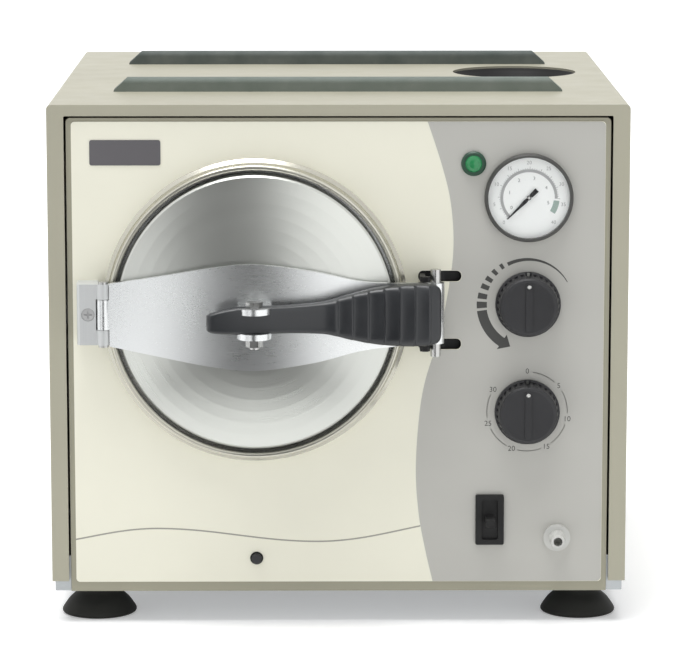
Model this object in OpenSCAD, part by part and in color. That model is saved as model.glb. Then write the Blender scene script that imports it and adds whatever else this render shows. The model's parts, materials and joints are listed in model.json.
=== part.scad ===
/* [Cabinet] */
// Width of the cabinet
body_w = 384; // [370:1:420]
// Depth of the cabinet, front band to rear panel
body_d = 390; // [380:1:430]
// Height of the flat top above the table
body_h = 349.7; // [340:0.1:380]
// Thickness of the folded sheet metal
sheet = 1.5; // [1:0.1:2]
// Width of the band that the cover turns in at the sides of the front
band_w = 11.2; // [6:0.1:14]
// Width of that band along the top
band_top = 7.4; // [5:0.1:12]
// Outer bend radius of the cover
bend_r = 3; // [2:0.5:6]
// Height of the cover's lower edge above the table
cover_z = 29.2; // [26:0.1:34]
// Gap between the cover's band and the front panel
panel_gap = 1.4; // [1.2:0.1:4]
// How far the front panel stands behind the band
panel_recess = 1.5; // [0.5:0.1:4]
// Rim of panel that shows round the printed overlay
overlay_rim = 3.4; // [2:0.1:6]
// Thickness of the overlay film
overlay_t = 0.5; // [0.3:0.1:1]

/* [Feet] */
// Height of a foot
foot_h = 22; // [16:0.1:24]
// Radius of a foot on the table
foot_r = 25.3; // [18:0.1:28]
// Radius of a foot under the cabinet
foot_top_r = 18.7; // [14:0.1:20]
// Distance of a foot's axis from the cabinet's side
foot_inset = 29.2; // [28:0.1:60]
// Distance of a foot's axis from the front and the rear
foot_setback = 36; // [30:1:60]

/* [Top] */
// Length of a rail at its base
rail_l = 305; // [240:1:330]
// Width of a rail
rail_w = 15; // [10:0.5:20]
// Height of a rail
rail_h = 9; // [5:0.5:12]
// Front rail, distance behind the front
rail_front = 94; // [70:1:130]
// Rear rail, distance behind the front
rail_rear = 294; // [285:1:330]
// Radius of the round fill opening
fill_r = 44; // [35:0.5:48]
// Fill opening's axis, distance from the cabinet's right side
fill_side = 65; // [62:1:80]
// Fill opening's axis, distance in front of the rear
fill_back = 162; // [155:1:200]
// Depth of the fill funnel's bowl
funnel_h = 30; // [20:1:40]

/* [Door] */
// Door axis, distance from the cabinet's left side
door_side = 137; // [132:1:142]
// Door axis, depth under the flat top
door_drop = 136.8; // [132:0.1:145]
// Radius of the domed door disc
disc_r = 92; // [88:0.5:93]
// Depth of the door disc's rim
disc_rim = 8.2; // [7:0.1:9]
// Height of the dome over its rim
dome_h = 11.5; // [6:0.5:12]
// Wall of the door disc
disc_t = 2.5; // [1.5:0.1:3]
// Clearance between door disc and collar
disc_gap = 2.4; // [1.5:0.1:4]
// Height of the collar in front of the panel
collar_h = 11.2; // [10:0.1:13]
// Width of the collar's rounded front rim
collar_rim = 3.6; // [2.5:0.1:5]
// How far the collar spreads at the panel
collar_flare = 3.4; // [2:0.1:6]
// Radius of the door's stud
stud_r = 5.7; // [4:0.1:6]

/* [Cross bar] */
// Thickness of the bar
bar_t = 4; // [3:0.1:5]
// Radius of the bar's arch, seen from above
arch_r = 370; // [330:5:420]
// Half height of the bar at its ends
bar_end = 20.2; // [17:0.1:20.3]
// Half height of the bar at its belly
bar_belly = 35.2; // [30:0.1:40]
// Hinge pin, distance left of the door axis
hinge_dx = 100; // [99:0.5:105]
// Radius of the hinge pin
hinge_pin_r = 2.5; // [2:0.1:3]
// Radius of the hinge knuckles
knuckle_r = 4.6; // [4.4:0.1:5.5]
// Latch pin, distance right of the door axis
latch_dx = 119; // [115:0.5:122]
// Latch pin, distance in front of the panel
latch_out = 11; // [10.5:0.5:12.5]
// Radius of the latch pin
latch_pin_r = 3.4; // [3:0.1:3.6]
// Half length of the latch pin
latch_pin_l = 29; // [28:0.5:34]
// Radius of the eye that holds the latch pin
eye_r = 5.8; // [5.5:0.1:6.2]

/* [Handle] */
// Pivot, distance in front of the panel
pivot_out = 52; // [51:0.5:56]
// Radius of the pivot bolt
pivot_r = 3; // [2.5:0.1:3.5]
// Half height between the clevis ears
ear_gap = 6.2; // [6:0.1:7]
// Thickness of a clevis ear
ear_t = 4; // [3:0.1:5]
// Half width of a clevis ear
ear_r = 11; // [9:0.5:12]
// Length of the handle from pivot to end
grip_l = 125; // [114:1:128]
// Length of the nose left of the pivot
nose_l = 31; // [26:0.5:33]
// Half height of the grip at its end
grip_half = 20.5; // [16:0.5:22]
// Half height of the handle's neck
neck_half = 9; // [8:0.5:10]
// Thickness of the grip
grip_t = 15; // [12:0.5:16]
// Slope of the handle towards the panel
grip_tilt = 11.4; // [10:0.1:12]
// Number of ribs on the grip
ribs = 7; // [5:1:8]
// Radius of a rib
rib_r = 2.4; // [1.6:0.1:2.8]
// Distance between ribs
rib_pitch = 10.3; // [9:0.1:11]

/* [Latch] */
// Height of a latch slot over and under the door axis
slot_dz = 22.8; // [22.8:0.1:26]
// Length of a latch slot
slot_l = 28.6; // [27:0.1:32]
// Height of a latch slot
slot_h = 7.3; // [6:0.1:8]
// Slot centre, distance right of the latch pin
slot_shift = 3; // [2.5:0.1:4]
// Thickness of a hook
hook_t = 3.4; // [3:0.1:3.6]
// Width of a hook's arm
hook_w = 3.5; // [3:0.1:4]
// Clearance between a hook and its slot's end
hook_gap = 0.9; // [0.6:0.1:1.2]

/* [Controls] */
// How far the control column stands left of the middle of its space
column_shift = 4.85; // [3:0.05:8]
// Gauge axis, depth under the flat top
gauge_drop = 61.5; // [57:0.1:64]
// Radius of the gauge's bezel
gauge_r = 29.3; // [26:0.1:32]
// Temperature knob's axis, depth under the flat top
temperature_drop = 132.8; // [128:0.1:136]
// Timer knob's axis, depth under the flat top
timer_drop = 205.3; // [200:0.1:207]
// Radius of a knob
knob_r = 21.7; // [18:0.1:24]
// Height of a knob
knob_h = 17; // [13:0.5:22]
// Flutes round a knob
flutes = 30; // [18:1:36]
// Radius of a knob's spindle
spindle_r = 3; // [2:0.1:4]
// Pilot lamp, distance left of the control column
lamp_dx = 36.5; // [35:0.5:40]
// Pilot lamp, depth under the flat top
lamp_drop = 39; // [36:0.5:42]
// Radius of the pilot lamp's holder
lamp_r = 8.2; // [6:0.1:9]
// Lever, distance left of the control column
lever_dx = 24.5; // [22:0.5:28]
// Lever, height of its axis
lever_z = 71; // [68:0.5:74]
// Width of the lever's bezel
lever_w = 19; // [17:0.5:22]
// Height of the lever's bezel
lever_h = 34; // [30:0.5:38]
// Drain outlet, distance right of the control column
drain_dx = 20.5; // [15:0.5:24]
// Drain outlet, height
drain_z = 58.8; // [54:0.1:64]
// Reset button, distance left of the door axis
reset_dx = 0; // [-8:0.5:8]
// Reset button, height
reset_z = 44.6; // [40:0.1:50]
// Radius of the reset button
reset_r = 3.4; // [3:0.1:4.5]
// Travel of the reset button
reset_travel = 2; // [1.5:0.1:2.5]

/* [Chamber] */
// Inner radius of the chamber
bore_r = 89; // [88.5:0.1:90]
// Space between the chamber's barrel and the rear panel
chamber_gap = 45.5; // [42:0.5:70]
// Wall of the chamber
chamber_t = 2; // [1.5:0.1:2.5]
// Thickness of the insulation
jacket_t = 14; // [8:0.5:16]
// Width of the trays
tray_w = 120; // [100:1:126]
// Chamber length that the trays leave free
tray_space = 75; // [60:1:120]
// Height of a tray's rim
tray_h = 14; // [10:0.5:18]

/* [Hidden] */
$fn = 64;
eps = 0.01;

// Shared clearances
run = 0.05;      // a shaft in its bore
near = 0.3;      // curved faces of two bodies
seat = 0.2;      // a part set in its hole

// Main planes: the origin is on the table under the middle
front_y = (pivot_out + ear_r - panel_recess - body_d) / 2;
face_y = front_y + panel_recess;
panel_y = face_y + overlay_t;
rear_y = front_y + body_d;
inner_top = body_h - sheet;
panel_half = body_w / 2 - band_w - panel_gap;
panel_top = body_h - band_top - panel_gap;
pan_half = body_w / 2 - sheet - near;
pan_floor = foot_h + sheet;
pan_lip = 24;
rear_panel_y = rear_y - 8;
overlay_head = 2.4;  // rim over the overlay
overlay_foot = 6.4;  // rim under the overlay
skirt = 13;          // depth of the folded edge behind the front panel

// Places on the front
door_x = body_w / 2 - door_side;
door_z = body_h - door_drop;
slot_x = latch_dx + slot_shift - door_x;
column_x = (slot_x + slot_l / 2 + panel_half) / 2 - column_shift;
gauge_z = body_h - gauge_drop;
temperature_z = body_h - temperature_drop;
timer_z = body_h - timer_drop;
lamp_x = column_x - lamp_dx;
lamp_z = body_h - lamp_drop;
lever_x = column_x - lever_dx;
drain_x = column_x + drain_dx;
reset_x = door_x + reset_dx;

// Door
collar_r = disc_r + disc_gap;
seat_out = 1;
rim_back = seat_out + 1;
rim_out = rim_back + disc_rim;
dome_r = (disc_r * disc_r + dome_h * dome_h) / (2 * dome_h);
chamber_r = bore_r + chamber_t;
flange_r = chamber_r + 14;
flange_t = 4;
back_out = -overlay_t - sheet;
chamber_l = rear_panel_y - face_y - chamber_gap;
chamber_back = seat_out - chamber_l;
tray_l = chamber_l - tray_space;
rack_back = -30 - tray_l;
rack_half = tray_w / 2 + 1;
rack_foot = -sqrt(pow(bore_r - 0.1, 2) - pow(rack_half + 1.2, 2));
shelf_y = [-34, 8];
heater_x = 30;
heater_y = -74;
safety_y = 40;
cradle_half = 85;
cradle_drop = 40;
cradle_places = [95, chamber_l - 60];
gasket_in = bore_r - 5;
gasket_out = disc_r - 1.5;
groove_out = rim_back + 3;

// Cross bar and handle, in the door's own frame: x right, y up, z out of the panel
knuckle_h = 10;
hinge_out = collar_h + knuckle_r + near;
arch_top = hinge_out + arch_r - sqrt(pow(arch_r - bar_t / 2, 2) - pow(hinge_dx, 2));
cam_r = 9;
cam_lobe = 7;
cam_turn = 40;   // the handle's turn from the pressed door to the freed one
cam_shift = (cam_r - cam_lobe) / cos(90 - cam_turn);
stud_end = pivot_out - cam_r - near;
handle_dy = 2;
hinge_x = -door_x - hinge_dx;
latch_x = -door_x + latch_dx;
rib_sink = 1.1;      // depth of a rib's axis under the grip's face
hook_out = slot_l / 2 - slot_shift - hook_gap;   // a hook's outer side, left of the pin
latch_travel = hook_out - hook_w - latch_pin_r - near;
nose_base = latch_out + latch_pin_r + near;

// Controls, reservoir and plumbing
bezel_h = 6;
pointer_rest = 134;
lever_axis = back_out - 16;
tube_r = 4;
tube_z = lever_z - 8;
tube_out = back_out - flange_t - 9;
timer_r = 20;
timer_d = 40;
thermostat_d = 30;
valve_d = 40;
drain_d = 28;
fill_x = body_w / 2 - fill_side;
fill_y = body_d - fill_back;
tank_wall = 2.5;
tank_x0 = chamber_r + jacket_t + 12 - door_x;
tank_x1 = fill_x + 56;
tank_y0 = front_y + 150;
tank_y1 = rear_panel_y - 52;
tank_z1 = inner_top - funnel_h - 10;
inlet_x = body_w / 2 - 52;
inlet_z = 60;
inlet_w = 27.4;
inlet_h = 20.4;
inlet_screw_dx = 20;
terminal_w = 70;
terminal_d = 24;
terminal_h = 18;

// Points of a smooth line through a few given ones
function mix4(a, b, c, d, t) =
    0.5 * (2 * b + (c - a) * t + (2 * a - 5 * b + 4 * c - d) * t * t + (3 * b - a - 3 * c + d) * t * t * t);
function smooth_line(p, n) = concat(
    [for (i = [0:len(p) - 2]) for (k = [0:n - 1])
        mix4(p[max(i - 1, 0)], p[i], p[i + 1], p[min(i + 2, len(p) - 1)], k / n)],
    [p[len(p) - 1]]
);
function mirrored(p) = [for (i = [len(p) - 1:-1:0]) [p[i].x, -p[i].y]];

// Frames: a place on the panel's face, with x right, y up and z outwards
module on_panel(x, z) {
    translate([x, face_y, z]) rotate([90, 0, 0]) children();
}
// A flat outline in x and z, carried back from y0 over a length
module along_y(y0, length) {
    translate([0, y0 + length, 0]) rotate([90, 0, 0]) linear_extrude(length) children();
}
module ring(r_out, r_in, h) {
    difference() {
        cylinder(r = r_out, h = h);
        translate([0, 0, -eps]) cylinder(r = r_in, h = h + 2 * eps);
    }
}
module box(lo, hi) {
    translate(lo) cube(hi - lo);
}
// An upright outline with two rounded top corners
module arch_outline(half, z0, z1, r) {
    translate([-half, z0]) square([2 * half, z1 - z0 - r]);
    translate([r - half, z0]) square([2 * half - 2 * r, z1 - z0]);
    for (s = [-1, 1]) translate([s * (half - r), z1 - r]) circle(r);
}
// A rectangle with four rounded corners, about its middle
module round_rect(w, h, r) {
    square([w - 2 * r, h], center = true);
    square([w, h - 2 * r], center = true);
    for (i = [-1, 1]) for (k = [-1, 1]) translate([i * (w / 2 - r), k * (h / 2 - r)]) circle(r);
}
// Holes that the front panel and its overlay share, grown by a margin
module front_holes(grow) {
    translate([-door_x, door_z]) circle(collar_r + grow, $fn = 160);
    for (s = [-1, 1]) translate([slot_x, door_z + s * slot_dz]) round_rect(slot_l, slot_h, slot_h / 2 - 0.4);
    translate([column_x, gauge_z]) circle(gauge_r - 3 + grow);
    translate([column_x, temperature_z]) circle(spindle_r + 2);
    translate([column_x, timer_z]) circle(spindle_r + 2);
    translate([lamp_x, lamp_z]) circle(lamp_r - 2 + grow);
    translate([lever_x, lever_z]) square([lever_w - 4, lever_h - 4], center = true);
    translate([drain_x, drain_z]) circle(6);
    translate([-reset_x, reset_z]) circle(reset_r + 1);
    translate([hinge_x - 10, door_z]) circle(2.2);
}

module cover() {
    color([0.8, 0.79, 0.73]) difference() {
        along_y(front_y, body_d) arch_outline(body_w / 2, cover_z, body_h, bend_r);
        along_y(front_y + sheet, body_d)
            arch_outline(body_w / 2 - sheet, cover_z - 1, inner_top, max(bend_r - sheet, 0.4));
        along_y(front_y - 1, sheet + 2) arch_outline(body_w / 2 - band_w, cover_z - 1, body_h - band_top, 1);
        translate([fill_x, front_y + fill_y, inner_top - 1]) cylinder(r = fill_r, h = sheet + 2);
        cover_screw_places() cylinder(r = 2.1, h = 12, center = true);
    }
}
// Three screws along each side, turned so that z points out of the side
module cover_screw_places() {
    for (s = [-1, 1]) for (k = [-1:1])
        translate([s * body_w / 2, front_y + body_d / 2 + k * (body_d / 2 - 35), (cover_z + pan_floor + pan_lip) / 2])
            rotate([0, s * 90, 0]) children();
}
module cover_screws() {
    color("silver") cover_screw_places() {
        difference() {
            cylinder(r1 = 3.6, r2 = 2.6, h = 1.6);
            for (a = [0, 90]) rotate([0, 0, a]) translate([-2, -0.4, 0.8]) cube([4, 0.8, 1]);
        }
        translate([0, 0, -6]) cylinder(r = 2, h = 6);
    }
}
module base_pan() {
    front = panel_y + sheet + 0.2;
    color([0.55, 0.54, 0.5]) difference() {
        union() {
            box([-pan_half, front, foot_h], [pan_half, rear_panel_y - near, pan_floor]);
            for (s = [-1, 1]) translate([s * (pan_half - sheet / 2), front, foot_h])
                translate([-sheet / 2, 0, 0]) cube([sheet, rear_panel_y - near - front, pan_lip + sheet]);
            box([-pan_half, rear_panel_y - near - sheet, foot_h], [pan_half, rear_panel_y - near, foot_h + 14]);
        }
        foot_places() translate([0, 0, foot_h - 1]) cylinder(r = 2.6, h = sheet + 2);
        cover_screw_places() cylinder(r = 2.1, h = 20, center = true);
        for (k = [-3:3]) translate([k * 22 - 60, 40, foot_h - 1]) linear_extrude(sheet + 2) round_rect(5, 60, 2.4);
    }
}
module foot_places() {
    for (s = [-1, 1]) for (y = [front_y + foot_setback, rear_y - foot_setback])
        translate([s * (body_w / 2 - foot_inset), y, 0]) children();
}
// A bell-shaped rubber foot with a counterbored screw hole
module feet() {
    fall = foot_r - foot_top_r;
    side = smooth_line([
        [foot_r - 2.6, 0], [foot_r - 0.7, 1.2], [foot_r, 3.6], [foot_r - 0.14 * fall, 0.36 * foot_h],
        [foot_r - 0.45 * fall, 0.62 * foot_h], [foot_top_r, foot_h - 1.5]
    ], 4);
    color([0.15, 0.15, 0.15]) foot_places() difference() {
        rotate_extrude($fn = 72) polygon(concat([[0, 0]], side, [[foot_top_r, foot_h], [0, foot_h]]));
        translate([0, 0, -1]) cylinder(r = 6, h = 9);
        cylinder(r = 2.6, h = foot_h + 1);
    }
}
module foot_screws() {
    color("silver") foot_places() {
        translate([0, 0, 5]) cylinder(r = 4.5, h = 3);
        translate([0, 0, 8 - eps]) cylinder(r = 2.5, h = pan_floor - 8 + 2);
        translate([0, 0, pan_floor]) difference() {
            cylinder(r = 4.6, h = 3.5, $fn = 6);
            translate([0, 0, -1]) cylinder(r = 2.4, h = 2);
        }
    }
}
module front_panel() {
    color([0.68, 0.67, 0.6]) difference() {
        along_y(panel_y, skirt) translate([0, foot_h - 6]) intersection() {
            arch_outline(panel_half, 0, panel_top - foot_h + 6, 3);
            translate([-panel_half, 6]) square([2 * panel_half, panel_top - foot_h]);
        }
        along_y(panel_y + sheet, skirt)
            arch_outline(panel_half - sheet, foot_h - 7, panel_top - sheet, 1.6);
        along_y(panel_y - 1, sheet + 2) front_holes(0);
        along_y(panel_y + sheet, skirt) translate([-body_w, 0]) square([2 * body_w, pan_floor + near]);
    }
}
module front_overlay() {
    half = panel_half - overlay_rim;
    z0 = foot_h + overlay_foot;
    z1 = panel_top - overlay_head;
    color([0.91, 0.9, 0.85]) along_y(face_y, overlay_t) difference() {
        translate([0, (z0 + z1) / 2]) round_rect(2 * half, z1 - z0, 2.5);
        front_holes(0.3);
    }
}
module rear_panel() {
    half = pan_half;
    color([0.62, 0.61, 0.56]) difference() {
        along_y(rear_panel_y, sheet) arch_outline(half, foot_h + 0.5, inner_top - near, 2);
        // Two banks of louvre slots, the inlet's cut-out and the vent
        for (k = [0:9]) translate([-door_x - 40, rear_panel_y, door_z + 30 - k * 11]) rotate([90, 0, 0])
            linear_extrude(4 * sheet, center = true) round_rect(120, 4, 1.9);
        for (k = [0:9]) translate([fill_x - 57, rear_panel_y, body_h - 45 - k * 11]) rotate([90, 0, 0])
            linear_extrude(4 * sheet, center = true) round_rect(100, 4, 1.9);
        translate([inlet_x, rear_panel_y, inlet_z]) cube([inlet_w + 0.6, 20, inlet_h + 0.6], center = true);
        for (s = [-1, 1]) translate([inlet_x + s * inlet_screw_dx, rear_panel_y, inlet_z]) rotate([90, 0, 0])
            cylinder(r = 1.7, h = 20, center = true);
    }
}
module top_rails() {
    color([0.4, 0.45, 0.46]) for (d = [rail_front, rail_rear]) translate([0, front_y + d, body_h]) intersection() {
        translate([-rail_l / 2, 0, 0]) rotate([90, 0, 90]) linear_extrude(rail_l) rail_section();
        box([-rail_l, -rail_w, 0], [rail_l, rail_w, rail_h]);
        translate([0, rail_w, 0]) rotate([90, 0, 0]) linear_extrude(2 * rail_w)
            polygon([
                [-rail_l / 2, 0], [rail_l / 2, 0], [rail_l / 2, 1], [rail_l / 2 - rail_h, rail_h],
                [rail_h - rail_l / 2, rail_h], [-rail_l / 2, 1]
            ]);
    }
}
module rail_section() {
    arch_outline(rail_w / 2, 0, rail_h, 3);
}
module fill_funnel() {
    wall = 2;
    lip = 3;
    line = smooth_line([[fill_r - 1.5, -wall], [fill_r - 8, -12], [fill_r - 22, -funnel_h + 5], [11, -funnel_h]], 5);
    color([0.12, 0.12, 0.12]) translate([fill_x, front_y + fill_y, inner_top])
        rotate_extrude($fn = 96) polygon(concat(
            [[fill_r + lip, 0], [fill_r - 0.5, 0]], line, [[9, -funnel_h - 2], [9, -funnel_h - 14]],
            [[11, -funnel_h - 14], [11, -funnel_h - 2 - wall]],
            [for (i = [len(line) - 2:-1:0]) line[i] + [1.2, -1.6]], [[fill_r + lip, -wall]]
        ));
}
module reservoir() {
    color([0.85, 0.85, 0.82]) difference() {
        box([tank_x0, tank_y0, pan_floor], [tank_x1, tank_y1, tank_z1]);
        box([tank_x0 + tank_wall, tank_y0 + tank_wall, pan_floor + tank_wall], [tank_x1 - tank_wall, tank_y1 - tank_wall, tank_z1 + 1]);
        on_panel(lever_x, tube_z) translate([0, 0, face_y - tank_y0 - 4]) cylinder(r = 3, h = 10);
        on_panel(drain_x, drain_z) translate([0, 0, face_y - tank_y0 - 4]) cylinder(r = 3, h = 10);
    }
}
module reservoir_lid() {
    color([0.8, 0.8, 0.77]) difference() {
        union() {
            box([tank_x0 - 2, tank_y0 - 2, tank_z1], [tank_x1 + 2, tank_y1 + 2, tank_z1 + 2.5]);
            box([tank_x0 + 3, tank_y0 + 3, tank_z1 - 5], [tank_x1 - 3, tank_y1 - 3, tank_z1 + eps]);
        }
        box([tank_x0 + 5, tank_y0 + 5, tank_z1 - 6], [tank_x1 - 5, tank_y1 - 5, tank_z1 - eps]);
        translate([fill_x, front_y + fill_y, tank_z1 - 8]) cylinder(r = 11 + seat, h = 20);
    }
}

// The chamber is a drawn tube with a dished end and a bolting flange behind the panel
module chamber() {
    dish = smooth_line([[0, -18], [45, -15], [72, -8.5], [bore_r - 6, -3], [bore_r, 5]], 4);
    color([0.75, 0.76, 0.77]) on_panel(-door_x, door_z) difference() {
        union() {
            translate([0, 0, chamber_back]) rotate_extrude($fn = 160) polygon(concat(
                [for (p = dish) p - [0, chamber_t] + [p.x / bore_r * chamber_t, 0]],
                [[chamber_r, chamber_l], [bore_r, chamber_l]],
                [for (i = [len(dish) - 1:-1:0]) dish[i]]
            ));
            translate([0, 0, back_out - flange_t]) ring(flange_r, chamber_r - 0.5, flange_t);
        }
        for (s = [-1, 1]) translate([s * heater_x, heater_y, chamber_back - 20]) cylinder(r = 4 + run, h = 60);
        translate([0, -chamber_r, tube_out]) rotate([90, 0, 0]) cylinder(r = 3, h = 10, center = true);
        translate([0, safety_y, chamber_back - 20]) cylinder(r = 4, h = 10);
        for (a = [0:60:300]) rotate(a + 30) translate([flange_r - 5, 0, back_out - flange_t - 1])
            cylinder(r = 2.5, h = flange_t + 2);
    }
}
module insulation_jacket() {
    color([0.75, 0.76, 0.74]) on_panel(-door_x, door_z) translate([0, 0, chamber_back + 8])
        ring(chamber_r + jacket_t, chamber_r + 0.1, chamber_l - 36);
}
module chamber_cradles() {
    top = door_z - cradle_drop;
    color([0.6, 0.61, 0.62]) for (d = cradle_places) difference() {
        translate([0, face_y + d, 0]) union() {
            box([-door_x - cradle_half, 0, pan_floor], [-door_x + cradle_half, 3, top]);
            box([-door_x - cradle_half, 0, pan_floor], [-door_x + cradle_half, 22, pan_floor + 3]);
        }
        on_panel(-door_x, door_z) translate([0, 0, -chamber_l - 20]) cylinder(r = chamber_r + jacket_t + 0.1, h = chamber_l);
        for (s = [-1, 1]) translate([s * 45 - door_x, face_y + d + 13, 0]) cylinder(r = 3, h = 60);
        translate([-door_x, face_y + d - 1, pan_floor + 32]) rotate([-90, 0, 0]) linear_extrude(5) round_rect(60, 24, 8);
    }
}
// Round bead at the front, short wall and a flared foot on the panel
module door_collar() {
    bead = collar_rim / 2;
    color([0.83, 0.84, 0.82]) on_panel(-door_x, door_z) rotate_extrude($fn = 180) {
        translate([collar_r + bead, collar_h - bead]) circle(bead, $fn = 32);
        polygon([
            [collar_r, 0], [collar_r + collar_rim + collar_flare, 0],
            [collar_r + collar_rim + collar_flare, 1.2], [collar_r + collar_rim + 0.9, 3.2],
            [collar_r + collar_rim, 6], [collar_r + collar_rim, collar_h - bead], [collar_r, collar_h - bead]
        ]);
    }
}
module dam_plate() {
    color([0.72, 0.73, 0.74]) on_panel(-door_x, door_z) translate([0, 0, -14]) linear_extrude(1.5) difference() {
        intersection() {
            circle(bore_r - 0.1, $fn = 120);
            translate([-bore_r, -bore_r - 11]) square([2 * bore_r, 40]);
        }
        for (s = [-1, 1]) translate([s * 30, -66]) circle(2.5);
    }
}
module tray_rack() {
    color([0.78, 0.79, 0.8]) on_panel(-door_x, door_z) translate([0, 0, rack_back]) {
        for (s = [-1, 1]) {
            difference() {
                translate([s > 0 ? rack_half : -rack_half - 1.2, rack_foot, 0])
                    cube([1.2, shelf_y[1] + 22 - rack_foot, tray_l]);
                for (k = [0:4]) translate([s * rack_half, -12, tray_l * (k + 0.5) / 5]) rotate([0, 90, 0])
                    cylinder(r = 11, h = 5, center = true);
                for (k = [0:4]) translate([s * rack_half, rack_foot + 9, tray_l * (k + 0.5) / 5])
                    cube([5, 10, 36], center = true);
            }
            for (y = shelf_y) translate([s > 0 ? rack_half - 6 : -rack_half, y - 1.2, 0]) cube([6, 1.2, tray_l]);
        }
        for (z = [3, tray_l - 3]) translate([-rack_half - 0.6, rack_foot + 2, z]) rotate([0, 90, 0])
            cylinder(r = 1.6, h = 2 * rack_half + 1.2);
    }
}
// A shallow pan with a rolled lip and long slots in its floor
module tray(y) {
    half = tray_w / 2;
    on_panel(-door_x, door_z) translate([0, y, rack_back + tray_l / 2]) rotate([-90, 0, 0]) difference() {
        translate([0, 0, 0]) linear_extrude(tray_h) round_rect(tray_w, tray_l - 4, 10);
        translate([0, 0, 1]) linear_extrude(tray_h) round_rect(tray_w - 2, tray_l - 6, 9);
        for (i = [-1:1]) for (k = [-3:3]) translate([i * 34, k * (tray_l - 30) / 7, -1])
            linear_extrude(3) round_rect(22, 6, 2.9);
    }
}
module upper_tray() {
    color([0.8, 0.81, 0.82]) tray(shelf_y[1]);
}
module lower_tray() {
    color([0.8, 0.81, 0.82]) tray(shelf_y[0]);
}
// A hairpin of tubular heater, its legs through the chamber's end
module heating_element() {
    front = -45 - heater_x;
    color([0.35, 0.34, 0.33]) on_panel(-door_x, door_z) {
        for (s = [-1, 1]) translate([s * heater_x, heater_y, chamber_back - 24]) cylinder(r = 4, h = front - chamber_back + 24);
        translate([0, heater_y, front]) rotate([-90, 0, 0]) rotate_extrude(angle = -180, $fn = 96)
            translate([heater_x, 0]) circle(4);
    }
}
module safety_valve() {
    color([0.75, 0.6, 0.3]) on_panel(-door_x, door_z) translate([0, safety_y, chamber_back - 36]) {
        cylinder(r = 4 - run, h = 22);
        translate([0, 0, 2]) cylinder(r = 8, h = 7, $fn = 6);
        translate([0, 0, -1]) cylinder(r = 5.5, h = 15);
    }
}
module control_valve() {
    color([0.72, 0.58, 0.3]) on_panel(lever_x, lever_z) difference() {
        union() {
            translate([-15, -17, back_out - valve_d]) cube([30, 34, valve_d]);
            translate([-21, tube_z - lever_z, tube_out]) rotate([0, 90, 0]) cylinder(r = 6, h = 8);
            translate([0, tube_z - lever_z, back_out - valve_d - 6]) cylinder(r = 6, h = 8);
        }
        translate([-4, -12, back_out - 30]) cube([8, 24, 31]);
        translate([0, 0, lever_axis]) rotate([0, 90, 0]) cylinder(r = 3 + run, h = 20, center = true);
        translate([-22, tube_z - lever_z, tube_out]) rotate([0, 90, 0]) cylinder(r = tube_r + run, h = 8);
        translate([0, tube_z - lever_z, back_out - valve_d - 7]) cylinder(r = tube_r + run, h = 8);
    }
}
module fill_tube() {
    z0 = face_y - tank_y0;
    color([0.72, 0.45, 0.3]) on_panel(lever_x, tube_z) translate([0, 0, z0])
        ring(tube_r, tube_r - 1, back_out - valve_d - z0);
}
module vent_tube() {
    top = door_z - chamber_r;
    bend = 14;
    color([0.72, 0.45, 0.3]) on_panel(-door_x, 0) translate([0, 0, tube_out]) {
        translate([0, tube_z + bend, 0]) rotate([-90, 0, 0]) cylinder(r = 4, h = top - tube_z - bend);
        translate([bend, tube_z + bend, 0]) rotate(180) rotate_extrude(angle = 90) translate([bend, 0]) circle(4);
        translate([bend, tube_z, 0]) rotate([0, 90, 0]) cylinder(r = 4, h = lever_x + door_x - 15 - bend);
    }
}
// Nozzle at the front, valve block behind the panel
module drain_valve() {
    color([0.55, 0.55, 0.53]) on_panel(drain_x, drain_z) difference() {
        union() {
            translate([-11, -11, back_out - drain_d]) cube([22, 22, drain_d]);
            translate([0, 0, back_out - 1]) cylinder(r = 5.8, h = 4);
            cylinder(r = 9, h = 3);
            rotate_extrude() polygon([[0, 0], [5.5, 0], [5.5, 6], [4.6, 7], [4.6, 9], [5.4, 10], [4.4, 16], [0, 16]]);
        }
        translate([0, 0, 4]) cylinder(r = 3, h = 14);
        translate([0, 0, back_out - drain_d - 1]) cylinder(r = tube_r + run, h = 8);
    }
}
module drain_tube() {
    z0 = face_y - tank_y0;
    color([0.85, 0.85, 0.8]) on_panel(drain_x, drain_z) translate([0, 0, z0]) ring(tube_r, tube_r - 1, back_out - drain_d + 6 - z0);
}
module gauge_case() {
    color([0.3, 0.31, 0.31]) on_panel(column_x, gauge_z) difference() {
        union() {
            translate([0, 0, -28]) cylinder(r = gauge_r - 3 - seat, h = 29);
            rotate_extrude($fn = 120) polygon([
                [0, 0], [gauge_r, 0], [gauge_r, bezel_h - 1.5], [gauge_r - 1, bezel_h], [gauge_r - 2, bezel_h], [0, bezel_h]
            ]);
            translate([0, 0, -38]) cylinder(r = 5, h = 12);
        }
        translate([0, 0, 1.5]) cylinder(r = gauge_r - 2.3, h = bezel_h, $fn = 120);
        translate([0, 0, -4]) cylinder(r = 1.2, h = 8);
    }
}
module gauge_dial() {
    color([0.95, 0.95, 0.93]) on_panel(column_x, gauge_z) translate([0, 0, 1.5])
        ring(gauge_r - 2.3 - run, 1.2, 0.6, $fn = 120);
}
module gauge_pointer() {
    color([0.1, 0.1, 0.1]) on_panel(column_x, gauge_z) rotate(pointer_rest) {
        translate([0, 0, 2.9]) linear_extrude(0.6) polygon([[-0.9, -8], [0.9, -8], [0.35, gauge_r - 9], [-0.35, gauge_r - 9]]);
        translate([0, 0, 2.6]) cylinder(r = 2.6, h = 1.2);
        translate([0, 0, -2]) cylinder(r = 0.9, h = 5);
    }
}
module gauge_lens() {
    color([0.9, 0.95, 0.95, 0.3]) on_panel(column_x, gauge_z) translate([0, 0, bezel_h - 1.6])
        cylinder(r = gauge_r - 2.3 - run, h = 1, $fn = 120);
}
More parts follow.
